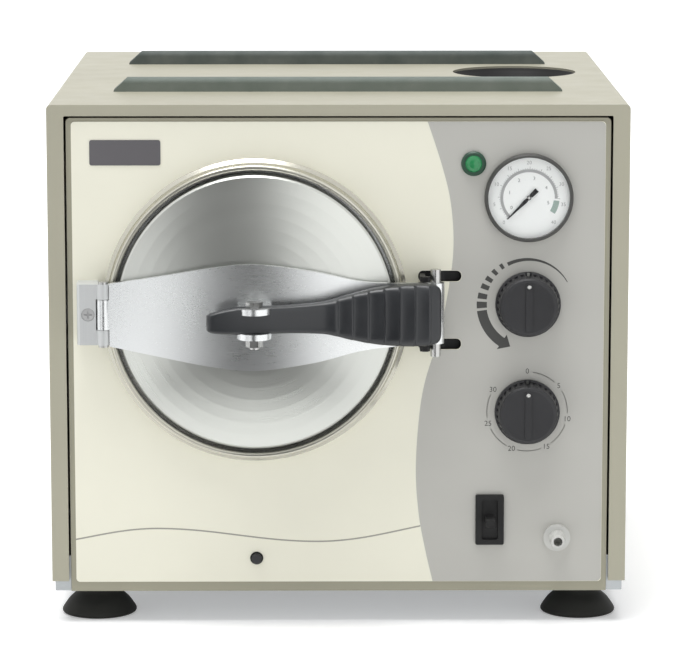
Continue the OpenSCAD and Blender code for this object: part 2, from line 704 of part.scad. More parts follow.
module lamp_holder() {
    color([0.2, 0.3, 0.25]) on_panel(lamp_x, lamp_z) difference() {
        union() {
            rotate_extrude() polygon([[0, 0], [lamp_r, 0], [lamp_r, 1.4], [lamp_r - 1, 2.4], [0, 2.4]]);
            translate([0, 0, -26]) cylinder(r = lamp_r - 2 - seat, h = 27);
        }
        translate([0, 0, -4]) cylinder(r = lamp_r - 2.6, h = 10);
    }
}
module lamp_lens() {
    r = lamp_r - 2.6 - run;
    color([0.2, 0.6, 0.35]) on_panel(lamp_x, lamp_z) rotate_extrude() intersection() {
        polygon([[0, -4], [r, -4], [r, 2.2], [r - 0.9, 3.6], [r - 2.6, 4.5], [0, 5]]);
        translate([0, -6]) square([r, 20]);
    }
}
// Carries a plan outline, drawn as x and distance out, up over a height
module upright(y0, h) {
    translate([0, y0 + h, 0]) rotate([90, 0, 0]) linear_extrude(h) children();
}
module thermostat() {
    color([0.8, 0.79, 0.75]) on_panel(column_x, temperature_z) difference() {
        union() {
            translate([-15, -16, back_out - thermostat_d]) cube([30, 32, thermostat_d]);
            translate([0, 0, back_out - thermostat_d - 6]) cylinder(r = 5, h = 8);
        }
        translate([0, 0, back_out - 14]) cylinder(r = spindle_r + run, h = 15);
    }
}
module timer() {
    color([0.7, 0.71, 0.72]) on_panel(column_x, timer_z) difference() {
        union() {
            translate([-timer_r, -timer_r, back_out - 1.2]) cube([2 * timer_r, 2 * timer_r, 1.2]);
            translate([0, 0, back_out - timer_d]) cylinder(r = timer_r, h = timer_d);
        }
        translate([0, 0, back_out - 14]) cylinder(r = spindle_r + run, h = 15);
    }
}
// A tapered knob with flutes, a dot hollow, a notch and a low ridge on its face
module knob() {
    difference() {
        union() {
            rotate_extrude($fn = 120) polygon([
                [0, 0.6], [knob_r, 0.6], [knob_r, 3], [knob_r - 1, 3.6], [knob_r - 2.4, knob_h - 2],
                [knob_r - 3.4, knob_h - 0.6], [knob_r - 5, knob_h], [0, knob_h]
            ]);
            translate([0, 0, knob_h - 0.2]) linear_extrude(1) round_rect(4.4, 1.5 * knob_r, 2.1);
        }
        for (a = [0:360 / flutes:359]) rotate(a + 180 / flutes) translate([knob_r - 0.9, 0, 3.8])
            cylinder(r = 1.3, h = knob_h, $fn = 16);
        translate([0, knob_r - 8, knob_h]) cylinder(r = 1.5, h = 3);
        translate([0, knob_r - 0.6, 2.9]) cylinder(r = 2.2, h = knob_h);
    }
    translate([0, 0, back_out - 12]) cylinder(r = spindle_r, h = 14 - back_out);
}
module temperature_knob() {
    color([0.24, 0.24, 0.25]) on_panel(column_x, temperature_z) knob();
}
module timer_knob() {
    color([0.24, 0.24, 0.25]) on_panel(column_x, timer_z) knob();
}
module lever_bezel() {
    color([0.1, 0.1, 0.1]) on_panel(lever_x, lever_z) difference() {
        union() {
            linear_extrude(2.5) round_rect(lever_w, lever_h, 1.2);
            translate([0, 0, back_out]) linear_extrude(-back_out + eps)
                square([lever_w - 4 - seat, lever_h - 4 - seat], center = true);
        }
        translate([0, 0, back_out - 1]) linear_extrude(6) round_rect(lever_w - 8, lever_h - 7, 1.5);
    }
}
module valve_lever() {
    color([0.6, 0.6, 0.6]) on_panel(lever_x, lever_z) translate([0, 0, lever_axis]) {
        rotate([0, 90, 0]) cylinder(r = 3, h = 18, center = true);
        rotate([0, 90, 0]) cylinder(r = 5.5, h = 7.2, center = true);
        translate([-3, 0, 0]) rotate([90, 0, 90]) linear_extrude(6)
            polygon([[-3, 0], [3, 0], [2.4, 24], [3, 30], [1.8, 33], [-1.8, 33], [-3, 30], [-2.4, 24]]);
    }
}
module reset_thermostat() {
    color([0.3, 0.3, 0.3]) on_panel(-reset_x, reset_z) difference() {
        union() {
            translate([0, 0, back_out - 22]) cylinder(r = 10, h = 22);
            translate([0, 0, back_out - 1]) cylinder(r = reset_r + 0.9, h = 1.5 - back_out);
        }
        translate([0, 0, back_out - 12]) cylinder(r = reset_r + run, h = 16);
    }
}
module reset_button() {
    color([0.2, 0.2, 0.2]) on_panel(-reset_x, reset_z) rotate_extrude() polygon([
        [0, back_out - 12 + reset_travel + 0.4], [reset_r, back_out - 12 + reset_travel + 0.4],
        [reset_r, 3], [reset_r - 0.6, 3.7], [reset_r - 1.4, 3.9], [0, 4]
    ]);
}
module terminal_block() {
    color([0.9, 0.9, 0.86]) translate([-door_x - 95, rear_panel_y - 60, pan_floor]) difference() {
        cube([terminal_w, terminal_d, terminal_h]);
        for (k = [0:5]) translate([7.5 + k * 11, terminal_d / 2, 10]) cylinder(r = 3, h = 9);
        for (k = [0:4]) translate([12.4 + k * 11, -1, 12]) cube([1.2, terminal_d + 2, 7]);
    }
}
module power_inlet() {
    color([0.1, 0.1, 0.1]) translate([inlet_x, rear_panel_y + sheet, inlet_z]) rotate([-90, 0, 0]) difference() {
        union() {
            translate([0, 0, -22]) linear_extrude(22 + eps) square([inlet_w, inlet_h], center = true);
            linear_extrude(2.6) round_rect(49, 22, 4);
        }
        translate([0, 0, -16]) linear_extrude(20) round_rect(23.6, 16.6, 3);
        for (s = [-1, 1]) translate([s * inlet_screw_dx, 0, -1]) cylinder(r = 1.7, h = 6);
    }
    color("silver") translate([inlet_x, rear_panel_y + sheet, inlet_z]) rotate([-90, 0, 0])
        for (p = [[-7, -2], [7, -2], [0, 3]]) translate([p.x - 0.9, p.y - 2, -17]) cube([1.8, 4, 13]);
}

// Bent plate on the panel with two knuckles round the hinge pin
module hinge_bracket() {
    color([0.8, 0.82, 0.83]) on_panel(hinge_x, door_z) difference() {
        union() {
            upright(-bar_end, 2 * bar_end) polygon([
                [-17.5, 0], [-4, 0], [-4, 3], [-2.5, hinge_out - 3], [-2.5, hinge_out + 2.2],
                [-15.5, hinge_out + 2.2], [-17, hinge_out + 0.6], [-17.5, hinge_out - 3]
            ]);
            upright(-bar_end, 2 * bar_end) translate([0, hinge_out]) circle(knuckle_r);
        }
        upright(-bar_end - 1, 2 * bar_end + 2) translate([0, hinge_out]) circle(hinge_pin_r + run);
        upright(-knuckle_h - near, 2 * knuckle_h + 2 * near) translate([0, hinge_out]) circle(knuckle_r + 0.6);
        translate([-10, 0, -1]) cylinder(r = 2.2, h = hinge_out + 5);
        translate([-10, 0, hinge_out - 1]) cylinder(r = 4.3, h = 5);
    }
}
module hinge_screws() {
    color("silver") on_panel(hinge_x - 10, door_z) {
        translate([0, 0, hinge_out - 1]) difference() {
            cylinder(r = 4.1, h = 2.8);
            for (a = [0, 90]) rotate(a) translate([-2.5, -0.5, 1.8]) cube([5, 1, 2]);
        }
        translate([0, 0, back_out - 4]) cylinder(r = 2.1, h = hinge_out + 3 - back_out);
        translate([0, 0, back_out - 3.5]) ring(4.2, 2.1, 3.5, $fn = 6);
    }
}
module hinge_pin() {
    color("silver") on_panel(hinge_x, door_z) {
        upright(-bar_end - 1.2, 2 * bar_end + 2.4) translate([0, hinge_out]) circle(hinge_pin_r);
        for (s = [-1, 1]) upright(s > 0 ? bar_end : -bar_end - 1.6, 1.6) translate([0, hinge_out]) circle(hinge_pin_r + 0.9);
    }
}

// Arched bar: a curved plate cut to a bellied outline, rolled to an eye at both ends
module cross_bar() {
    top = smooth_line([
        [-hinge_dx, bar_end], [-hinge_dx * 0.62, bar_end * 0.56 + bar_belly * 0.44],
        [-hinge_dx * 0.3, bar_end * 0.18 + bar_belly * 0.82], [0, bar_belly],
        [latch_dx * 0.32, bar_end * 0.32 + bar_belly * 0.68], [latch_dx * 0.58, bar_end * 0.8 + bar_belly * 0.2],
        [latch_dx * 0.78, bar_end + 0.8], [latch_dx + 1, bar_end]
    ], 5);
    color([0.8, 0.82, 0.81]) on_panel(-door_x, door_z) difference() {
        union() {
            intersection() {
                upright(-bar_belly - 5, 2 * bar_belly + 10) translate([0, arch_top - arch_r]) difference() {
                    circle(arch_r, $fn = 720);
                    circle(arch_r - bar_t, $fn = 720);
                }
                linear_extrude(arch_top + 10) polygon(concat(top, mirrored(top)));
            }
            upright(-knuckle_h, 2 * knuckle_h) translate([-hinge_dx, hinge_out]) circle(knuckle_r);
            upright(-bar_end, 2 * bar_end) translate([latch_dx, latch_out]) circle(eye_r);
        }
        upright(-bar_end - 1, 2 * bar_end + 2) translate([-hinge_dx, hinge_out]) circle(hinge_pin_r + run);
        upright(-bar_end - 1, 2 * bar_end + 2) translate([latch_dx, latch_out]) circle(latch_pin_r + run);
        for (s = [-1, 1]) upright(s > 0 ? knuckle_h : -bar_end - 1, bar_end + 1 - knuckle_h)
            translate([-hinge_dx, hinge_out]) circle(knuckle_r + 0.6);
        cylinder(r = stud_r + run, h = arch_top + 5);
    }
}
module latch_pin() {
    color("silver") on_panel(-door_x, door_z) {
        upright(-latch_pin_l, 2 * latch_pin_l) translate([latch_dx, latch_out]) circle(latch_pin_r);
    }
}
module pivot_clevis() {
    ear_top = ear_gap + ear_t;
    color([0.82, 0.83, 0.84]) on_panel(-door_x, door_z) difference() {
        union() {
            for (y = [-ear_top, ear_gap]) upright(y, ear_t) {
                translate([-ear_r, arch_top - 2]) square([2 * ear_r, pivot_out - arch_top + 2]);
                translate([0, pivot_out]) circle(ear_r);
            }
            upright(-ear_top, 2 * ear_top) translate([-ear_r, arch_top - 2]) square([2 * ear_r, 5]);
        }
        upright(-50, 100) translate([0, arch_top - arch_r]) circle(arch_r, $fn = 720);
        upright(-50, 100) translate([0, pivot_out]) circle(pivot_r + run);
        cylinder(r = stud_r + run, h = arch_top + 5);
    }
}
module pivot_bolt() {
    ear_top = ear_gap + ear_t;
    color("silver") on_panel(-door_x, door_z) {
        upright(-ear_top - 7, 2 * ear_top + 7 + eps) translate([0, pivot_out]) circle(pivot_r);
        upright(ear_top, 3.6) translate([0, pivot_out]) circle(5.6, $fn = 6);
    }
}
module pivot_nut() {
    color("silver") on_panel(-door_x, door_z)
        upright(-ear_gap - ear_t - 5.4, 5.4) translate([0, pivot_out]) difference() {
            circle(5.6, $fn = 6);
            circle(pivot_r + run);
        }
}
function dome_z(r) = rim_out - dome_r + dome_h + sqrt(dome_r * dome_r - r * r);
module door_disc() {
    back = gasket_in - 7;
    color([0.72, 0.73, 0.72]) on_panel(-door_x, door_z) {
        rotate_extrude($fn = 180) polygon(concat(
            [for (i = [0:11]) let (r = (disc_r - 2) * i / 11) [r, dome_z(r)]],
            [[disc_r - 0.6, rim_out - 0.5], [disc_r, rim_out - 1.6], [disc_r, rim_back], [gasket_out + seat, rim_back],
             [gasket_out + seat, groove_out], [gasket_in - seat, groove_out], [gasket_in - seat, rim_back],
             [back, rim_back], [back, dome_z(back) - disc_t]],
            [for (i = [8:-1:0]) let (r = back * i / 9) [r, dome_z(r) - disc_t]]
        ));
        translate([0, 0, dome_z(0) - disc_t - 3]) cylinder(r = stud_r, h = stud_end - dome_z(0) + disc_t);
        translate([0, 0, stud_end - 3 - eps]) cylinder(r1 = stud_r, r2 = stud_r - 2.6, h = 3 + eps);
        translate([0, 0, dome_z(0) - disc_t - 4]) cylinder(r = stud_r + 3, h = 4.5);
    }
}
module door_gasket() {
    color([0.8, 0.35, 0.25]) on_panel(-door_x, door_z) translate([0, 0, seat_out + near])
        ring(gasket_out, gasket_in, groove_out - seat_out - near, $fn = 180);
}

// Lever handle: a plan outline and a front outline meet, with a cam at the pivot and ribs on the grip
module handle_front() {
    flare = grip_half - neck_half;
    top = smooth_line([
        [-nose_l, 2.5], [12 - nose_l, neck_half - 1.5], [20 - nose_l, neck_half], [0, neck_half], [22, neck_half],
        [grip_l - 79, neck_half + 0.14 * flare], [grip_l - 62, neck_half + 0.5 * flare],
        [grip_l - 43, neck_half + 0.83 * flare], [grip_l - 24, grip_half], [grip_l - 8, grip_half - 0.3],
        [grip_l - 2, grip_half - 2.6], [grip_l, grip_half - 6.5]
    ], 3);
    low = [for (p = mirrored(top)) p.x < -12 ? [p.x, max(p.y, -neck_half + 1)] : p];
    polygon(concat(top, low));
}
module handle_plan() {
    half = grip_t / 2;
    front = smooth_line([
        [-nose_l, 3.4], [3 - nose_l, 5], [-12, 6.4], [0, 6.8], [25, 5.8], [grip_l - 70, 5.6],
        [grip_l - 35, half - 0.3], [grip_l - 10, half], [grip_l - 2, half - 2], [grip_l, 1]
    ], 3);
    back = smooth_line([
        [grip_l, -2], [grip_l - 3, -half + 1.5], [grip_l - 14, -half], [grip_l - 50, -half + 1],
        [40, -5.6], [12, -5.4], [4, -5], [-2, -4.3], [-12, -4], [-nose_l, -3.4]
    ], 3);
    polygon(concat(front, back));
}
function rib_half(x) = lookup(x, [
    [grip_l - 79, neck_half - 1], [grip_l - 62, (neck_half + grip_half) / 2 - 2.5],
    [grip_l - 43, grip_half - 5], [grip_l - 24, grip_half - 3], [grip_l, grip_half - 6]
]);
module handle() {
    color([0.2, 0.2, 0.21]) on_panel(-door_x, door_z) difference() {
        union() {
            intersection() {
                upright(-40, 80) translate([0, pivot_out]) rotate(-grip_tilt) handle_plan();
                translate([0, handle_dy, 0]) linear_extrude(pivot_out + 30) handle_front();
            }
            intersection() {
                upright(seat - ear_gap, 2 * (ear_gap - seat)) translate([0, pivot_out]) {
                    circle(cam_lobe - 0.2);
                    rotate(-cam_turn) translate([cam_shift, 0]) circle(cam_lobe);
                }
                translate([-20, -20, 0]) cube([40, 40, 100]);
            }
            for (k = [0:ribs - 1]) handle_rib(grip_l - 5.5 - k * rib_pitch);
        }
        upright(-40, 80) translate([0, pivot_out]) circle(pivot_r + run);
        for (y = [ear_gap - seat, seat - ear_gap - 20]) upright(y, 20) translate([0, pivot_out]) {
            circle(ear_r + 0.8);
            translate([-16.5, -20]) square([ear_r + 17.3, 20]);
            translate([-16.5, -1]) square([10, 16]);
        }
    }
}
module handle_rib(x) {
    top = min(rib_half(x), grip_half);
    translate([0, 0, pivot_out]) rotate([0, grip_tilt, 0])
        upright(handle_dy - top, 2 * top) translate([x, grip_t / 2 - rib_sink]) circle(rib_r, $fn = 24);
}

// Slide behind the panel with two hooks that reach out through the slots; it moves right to hold the pin
module latch_hooks() {
    tip = -latch_pin_r - near;
    top = nose_base + 3.5;
    inner = hook_w - hook_out;
    plate = slot_dz + 7;
    color([0.2, 0.2, 0.21]) on_panel(latch_x, door_z) {
        translate([-hook_out - 1.5, -plate, back_out - near - 3]) cube([hook_out + 8, 2 * plate, 3]);
        for (s = [-1, 1]) upright(s * (slot_dz + 0.4) - hook_t / 2, hook_t) polygon([
            [-hook_out, back_out - 2], [inner, back_out - 2], [inner, nose_base], [tip - 0.4, nose_base],
            [tip, nose_base + 0.9], [tip - 1.8, top], [2 - hook_out, top], [-hook_out, top - 2]
        ]);
    }
}
module latch_guide() {
    edge = slot_dz + 7 + near;
    left = -slot_l / 2 - 3;
    color([0.15, 0.15, 0.16]) on_panel(slot_x, door_z) difference() {
        translate([left, -edge - 5, back_out - 8]) cube([slot_l + 6, 2 * edge + 10, 8]);
        translate([left - 1, -edge, back_out - near - 3.3]) cube([slot_l + 8, 2 * edge, 8]);
    }
}

cover();
base_pan();
front_panel();
front_overlay();
rear_panel();
cover_screws();
feet();
foot_screws();
top_rails();
fill_funnel();
reservoir();
reservoir_lid();
chamber();
chamber_cradles();
insulation_jacket();
door_collar();
dam_plate();
tray_rack();
upper_tray();
lower_tray();
heating_element();
safety_valve();
control_valve();
fill_tube();
vent_tube();
drain_valve();
drain_tube();
gauge_case();
gauge_dial();
gauge_pointer();
gauge_lens();
lamp_holder();
lamp_lens();
thermostat();
temperature_knob();
timer();
timer_knob();
lever_bezel();
valve_lever();
reset_thermostat();
reset_button();
terminal_block();
power_inlet();
hinge_bracket();
hinge_screws();
hinge_pin();
cross_bar();
latch_pin();
pivot_clevis();
pivot_bolt();
pivot_nut();
door_disc();
door_gasket();
handle();
latch_hooks();
latch_guide();
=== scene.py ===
"""Looks of a benchtop autoclave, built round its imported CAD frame.

Lengths are metres. X is to the right seen from the front, -Y comes out of the front panel and Z is up.
"""

import json
import logging
import math
from dataclasses import dataclass, field
from enum import Enum
from typing import Iterable, Optional, Sequence

import bmesh
import bpy
from mathutils import Matrix, Vector


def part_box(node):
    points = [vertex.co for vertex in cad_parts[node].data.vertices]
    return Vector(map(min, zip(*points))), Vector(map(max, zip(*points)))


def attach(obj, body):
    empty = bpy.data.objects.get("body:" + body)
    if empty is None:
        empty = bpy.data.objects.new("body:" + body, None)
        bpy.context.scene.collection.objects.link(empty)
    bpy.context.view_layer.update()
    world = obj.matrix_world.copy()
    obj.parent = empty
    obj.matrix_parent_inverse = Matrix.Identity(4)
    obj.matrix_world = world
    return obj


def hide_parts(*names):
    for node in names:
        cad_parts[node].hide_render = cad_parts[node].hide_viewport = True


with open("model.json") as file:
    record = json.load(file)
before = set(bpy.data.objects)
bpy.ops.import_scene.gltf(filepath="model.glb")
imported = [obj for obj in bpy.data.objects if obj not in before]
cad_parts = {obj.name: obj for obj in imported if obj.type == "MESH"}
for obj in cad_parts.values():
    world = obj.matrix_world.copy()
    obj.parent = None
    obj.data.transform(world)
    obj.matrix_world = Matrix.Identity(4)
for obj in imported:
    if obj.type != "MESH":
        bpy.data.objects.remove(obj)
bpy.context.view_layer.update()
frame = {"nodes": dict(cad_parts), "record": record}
LOG = logging.getLogger("autoclave")
MM = 0.001

# Points closer than this are one point
WELD = 1e-7
# The share of a font's size that a figure is high
FIGURE_SHARE = 0.7
# Millimetres that a print stands out from what it is printed on
PRINT_LEVEL = 0.05
# Degrees between two faces past which an edge is softened
SHARP_EDGE = 35.0
# Inputs and output of a Mix node that mixes colours
MIX_SHARE, MIX_FIRST, MIX_SECOND = 0, 6, 7
MIX_RESULT = 2

Colour = tuple[float, float, float]
Point2 = tuple[float, float]
Point3 = tuple[float, float, float]
Span = tuple[float, float]


# ---------------------------------------------------------------- materials


def srgb(red: int, green: int, blue: int) -> Colour:
    """Turns display values of 0 to 255 into the linear colour that shaders use.

    Args:
        red: Red, as displayed.
        green: Green, as displayed.
        blue: Blue, as displayed.

    Returns:
        The linear colour.
    """
    linear = []
    for value in (red, green, blue):
        part = value / 255
        linear.append(part / 12.92 if part <= 0.04045 else ((part + 0.055) / 1.055) ** 2.4)
    return (linear[0], linear[1], linear[2])


def tinted(colour: Colour, factor: float, lift: float = 0.0) -> Colour:
    """Scales a colour and lifts it, up to white."""
    return tuple(min(part * factor + lift, 1.0) for part in colour)


class Axis(Enum):
    """A direction of the shared frame, by its index."""

    X = 0
    Y = 1
    Z = 2


class Graph:
    """A material's node tree, with short calls for the nodes that the finishes share."""

    def __init__(self, name: str) -> None:
        """Starts a material with a Principled shader.

        Args:
            name: The material's name.
        """
        self.material = bpy.data.materials.new(name)
        self.material.use_nodes = True
        self.tree = self.material.node_tree
        self.shader = self.tree.nodes["Principled BSDF"]
        self._coords: Optional[bpy.types.NodeSocket] = None

    def node(self, kind: str, **inputs: object) -> bpy.types.Node:
        """Adds a node and fills its inputs.

        Args:
            kind: The node's type without the ShaderNode prefix.
            **inputs: A value or a socket for each input, by its name with underscores for spaces, or by
                the letter i and its index.

        Returns:
            The new node.
        """
        made = self.tree.nodes.new("ShaderNode" + kind)
        for key, value in inputs.items():
            by_index = key[0] == "i" and key[1:].isdigit()
            self.feed(made, int(key[1:]) if by_index else key.replace("_", " "), value)
        return made

    def feed(self, node: bpy.types.Node, key: object, value: object) -> None:
        """Links a socket to an input, or sets the input's value.

        Args:
            node: The node that takes it.
            key: The input's name or index.
            value: A socket, a number or a colour.
        """
        if isinstance(value, bpy.types.NodeSocket):
            self.tree.links.new(value, node.inputs[key])
        elif isinstance(value, tuple) and node.inputs[key].type == "RGBA" and len(value) == 3:
            node.inputs[key].default_value = (*value, 1.0)
        else:
            node.inputs[key].default_value = value

    def coords(self) -> bpy.types.NodeSocket:
        """Returns the object coordinates, which are the frame's own metres."""
        if self._coords is None:
            self._coords = self.tree.nodes.new("ShaderNodeTexCoord").outputs["Object"]
        return self._coords

    def placed(self, shift: Sequence[float] = (0, 0, 0),
               scale: Sequence[float] = (1, 1, 1)) -> bpy.types.NodeSocket:
        """Moves and then scales the object coordinates.

        Args:
            shift: The point that becomes the origin.
            scale: Factors along the three axes.

        Returns:
            The new coordinates.
        """
        moved = self.node("VectorMath", i0=self.coords(), i1=tuple(shift))
        moved.operation = "SUBTRACT"
        scaled = self.node("VectorMath", i0=moved.outputs[0], i1=tuple(scale))
        scaled.operation = "MULTIPLY"
        return scaled.outputs[0]

    def math(self, operation: str, first: object, second: object) -> bpy.types.NodeSocket:
        """Adds a Math node.

        Args:
            operation: Blender's name of the operation.
            first: The first value or socket.
            second: The second value or socket.

        Returns:
            The result's socket.
        """
        made = self.node("Math", i0=first, i1=second)
        made.operation = operation
        return made.outputs[0]

    def noise(self, scale: float, where: bpy.types.NodeSocket, detail: float = 4.0) -> bpy.types.NodeSocket:
        """Adds a noise texture.

        Args:
            scale: Its scale, in turns per metre of the coordinates.
            where: The coordinates it reads.
            detail: Its octaves.

        Returns:
            The noise value, about 0.5.
        """
        return self.node("TexNoise", Vector=where, Scale=scale, Detail=detail).outputs[0]

    def blend(self, amount: object, low: object, high: object) -> bpy.types.NodeSocket:
        """Mixes two colours.

        Args:
            amount: 0 for the first colour and 1 for the second.
            low: The first colour or socket.
            high: The second colour or socket.

        Returns:
            The mixed colour.
        """
        made = self.tree.nodes.new("ShaderNodeMix")
        made.data_type = "RGBA"
        self.feed(made, MIX_SHARE, amount)
        self.feed(made, MIX_FIRST, low)
        self.feed(made, MIX_SECOND, high)
        return made.outputs[MIX_RESULT]

    def mix_noise(self, first: bpy.types.NodeSocket, share: float,
                  second: bpy.types.NodeSocket) -> bpy.types.NodeSocket:
        """Adds two noises by their shares.

        Args:
            first: The first noise.
            share: The share of the first noise, from 0 to 1.
            second: The second noise, which takes the rest.

        Returns:
            The sum.
        """
        return self.math("ADD", self.math("MULTIPLY", first, share), self.math("MULTIPLY", second, 1 - share))

    def spread(self, value: bpy.types.NodeSocket, low: float, high: float) -> bpy.types.NodeSocket:
        """Maps a noise value, which mostly lies within 0.3 and 0.7, on to a range.

        Args:
            value: The noise.
            low: The result at 0.3.
            high: The result at 0.7.

        Returns:
            The mapped value.
        """
        return self.node("MapRange", i0=value, i1=0.3, i2=0.7, i3=low, i4=high).outputs[0]

    def worn(self, value: bpy.types.NodeSocket, middle: float, off: Span) -> bpy.types.NodeSocket:
        """Maps a noise value on to a range round a middle value."""
        return self.spread(value, middle + off[0], middle + off[1])

    def shaded(self, value: bpy.types.NodeSocket, colour: Colour, shades: Span) -> bpy.types.NodeSocket:
        """Varies a colour between two shades of itself.

        Args:
            value: The noise that it follows.
            colour: The colour.
            shades: The factors of the darker and the lighter shade.

        Returns:
            The varied colour.
        """
        return self.blend(self.spread(value, 0.0, 1.0), tinted(colour, shades[0]), tinted(colour, shades[1]))

    def bump(self, height: bpy.types.NodeSocket, distance: float, strength: float) -> None:
        """Adds a bump and links it to the shader.

        Args:
            height: The height's socket.
            distance: The height in metres of a full step.
            strength: The share of the effect.
        """
        made = self.node("Bump", Strength=strength, Distance=distance, Height=height)
        self.feed(self.shader, "Normal", made.outputs[0])

    def set(self, **values: object) -> None:
        """Sets inputs of the Principled shader, with spaces in their names as underscores."""
        for key, value in values.items():
            self.feed(self.shader, key.replace("_", " "), value)


@dataclass(frozen=True)
class Paint:
    """Stoved paint on sheet metal: a faint orange peel and soft patches of colour."""

    name: str
    colour: Colour
    roughness: float = 0.42
    shades: Span = (0.965, 1.02)
    wear: Span = (-0.05, 0.06)
    patch_scale: float = 9.0
    wear_scale: float = 45.0
    peel_scale: float = 900.0
    peel_depth: float = 0.00006

    def make(self) -> bpy.types.Material:
        """Builds the material."""
        g = Graph(self.name)
        patches = g.noise(self.patch_scale, g.coords(), 3.0)
        rubbed = g.noise(self.wear_scale, g.coords())
        g.set(Base_Color=g.shaded(patches, self.colour, self.shades),
              Roughness=g.worn(rubbed, self.roughness, self.wear), Specular_IOR_Level=0.4)
        g.bump(g.noise(self.peel_scale, g.coords(), 2.0), self.peel_depth, 0.35)
        return g.material


@dataclass(frozen=True)
class Brushed:
    """Metal with a long straight grain."""

    name: str
    colour: Colour
    roughness: float = 0.3
    grain: Axis = Axis.X
    fine: float = 2600.0
    metallic: float = 1.0
    depth: float = 0.00002
    shades: Span = (0.94, 1.03)
    wear: Span = (-0.03, 0.04)
    stretch: float = 0.02
    cloud_scale: float = 22.0

    def make(self) -> bpy.types.Material:
        """Builds the material."""
        g = Graph(self.name)
        scale = [1.0, 1.0, 1.0]
        scale[self.grain.value] = self.stretch
        lines = g.noise(self.fine, g.placed(scale=scale), 3.0)
        clouds = g.noise(self.cloud_scale, g.coords(), 3.0)
        tone = g.mix_noise(lines, 0.5, clouds)
        g.set(Base_Color=g.shaded(tone, self.colour, self.shades), Metallic=self.metallic,
              Roughness=g.worn(tone, self.roughness, self.wear))
        g.bump(lines, self.depth, 0.5)
        return g.material


@dataclass(frozen=True)
class Spun:
    """Metal turned on a lathe, with rings about an axis along Y."""

    name: str
    colour: Colour
    centre: Point2
    roughness: float = 0.3
    rings: float = 2400.0
    metallic: float = 1.0
    shades: Span = (0.96, 1.02)
    wear: Span = (-0.02, 0.02)
    smears: Span = (-0.01, 0.015)
    broad_scale: float = 90.0
    smear_scale: float = 14.0
    ring_depth: float = 0.000006

    def make(self) -> bpy.types.Material:
        """Builds the material."""
        g = Graph(self.name)
        local = g.placed(shift=(self.centre[0], 0.0, self.centre[1]), scale=(1, 0, 1))
        radius = g.node("VectorMath", i0=local)
        radius.operation = "LENGTH"
        along = g.node("CombineXYZ", i0=radius.outputs["Value"]).outputs[0]
        ring = g.noise(self.rings, along, 4.0)
        broad = g.noise(self.broad_scale, along, 2.0)
        smear = g.noise(self.smear_scale, g.coords(), 3.0)
        tone = g.mix_noise(ring, 0.7, broad)
        rough = g.math("ADD", g.worn(tone, self.roughness, self.wear), g.spread(smear, *self.smears))
        g.set(Base_Color=g.shaded(tone, self.colour, self.shades), Metallic=self.metallic, Roughness=rough)
        g.bump(ring, self.ring_depth, 0.35)
        return g.material


@dataclass(frozen=True)
class Moulded:
    """Moulded plastic or rubber with a fine grain and a little dust."""

    name: str
    colour: Colour
    roughness: float = 0.5
    grain: float = 1400.0
    depth: float = 0.00004
    coat: float = 0.0
    specular: float = 0.45
    wear: Span = (-0.05, 0.08)
    dust_scale: float = 38.0

    def make(self) -> bpy.types.Material:
        """Builds the material."""
        g = Graph(self.name)
        fine = g.noise(self.grain, g.coords(), 2.0)
        dust = g.noise(self.dust_scale, g.coords(), 4.0)
        g.set(Base_Color=g.blend(g.spread(dust, 0.0, 0.6), self.colour, tinted(self.colour, 1.25, 0.006)),
              Roughness=g.worn(dust, self.roughness, self.wear),
              Coat_Weight=self.coat, Specular_IOR_Level=self.specular)
        g.bump(fine, self.depth, 0.4)
        return g.material


@dataclass(frozen=True)
class DepthShaded:
    """Matt plastic whose colour runs from a lighter front to a darker back along Y: painted shade on one
    plastic.
    """

    name: str
    front: Colour
    back: Colour
    depth: Span
    dust: Colour = (0.5, 0.5, 0.48)
    dust_scale: float = 60.0
    grain: float = 1400.0
    grain_depth: float = 0.00005

    def make(self) -> bpy.types.Material:
        """Builds the material."""
        g = Graph(self.name)
        place = g.node("SeparateXYZ", Vector=g.coords())
        share = g.node("MapRange", i0=place.outputs[Axis.Y.value], i1=self.depth[0], i2=self.depth[1])
        dusty = g.noise(self.dust_scale, g.coords(), 4.0)
        # Darker towards the back: painted shade, not a change in the plastic
        tone = g.blend(share.outputs[0], self.front, self.back)
        g.set(Base_Color=g.blend(g.spread(dusty, 0.0, 0.12), tone, self.dust), Roughness=0.75,
              Specular_IOR_Level=0.12)
        g.bump(g.noise(self.grain, g.coords(), 2.0), self.grain_depth, 0.5)
        return g.material


@dataclass(frozen=True)
class Clear:
    """Clear or tinted glass and plastic."""

    name: str
    colour: Colour
    roughness: float = 0.03
    transmission: float = 1.0
    glow: float = 0.0
    alpha: float = 1.0
    haze_scale: float = 260.0
    haze_depth: float = 0.00001

    def make(self) -> bpy.types.Material:
        """Builds the material."""
        g = Graph(self.name)
        haze = g.noise(self.haze_scale, g.coords(), 3.0)
        g.set(Base_Color=self.colour, Roughness=g.worn(haze, self.roughness, (0.0, 0.03)),
              Transmission_Weight=self.transmission, IOR=1.45, Alpha=self.alpha)
        if self.glow:
            g.set(Emission_Color=self.colour, Emission_Strength=self.glow)
        g.bump(haze, self.haze_depth, 0.2)
        return g.material


@dataclass(frozen=True)
class Woven:
    """Coarse glass-fibre wrap."""

    name: str
    colour: Colour
    thread: float = 700.0
    depth: float = 0.0004

    def make(self) -> bpy.types.Material:
        """Builds the material."""
        g = Graph(self.name)
        weave = g.node("TexWave", Vector=g.coords(), Scale=self.thread / 6.28)
        cross = g.node("TexWave", Vector=g.coords(), Scale=self.thread / 6.28)
        cross.bands_direction = "Y"
        cloth = g.math("MULTIPLY", weave.outputs["Fac"], cross.outputs["Fac"])
        g.set(Base_Color=g.blend(cloth, tinted(self.colour, 0.7), self.colour), Roughness=0.9)
        g.bump(cloth, self.depth, 0.6)
        return g.material


# ---------------------------------------------------------------- meshes


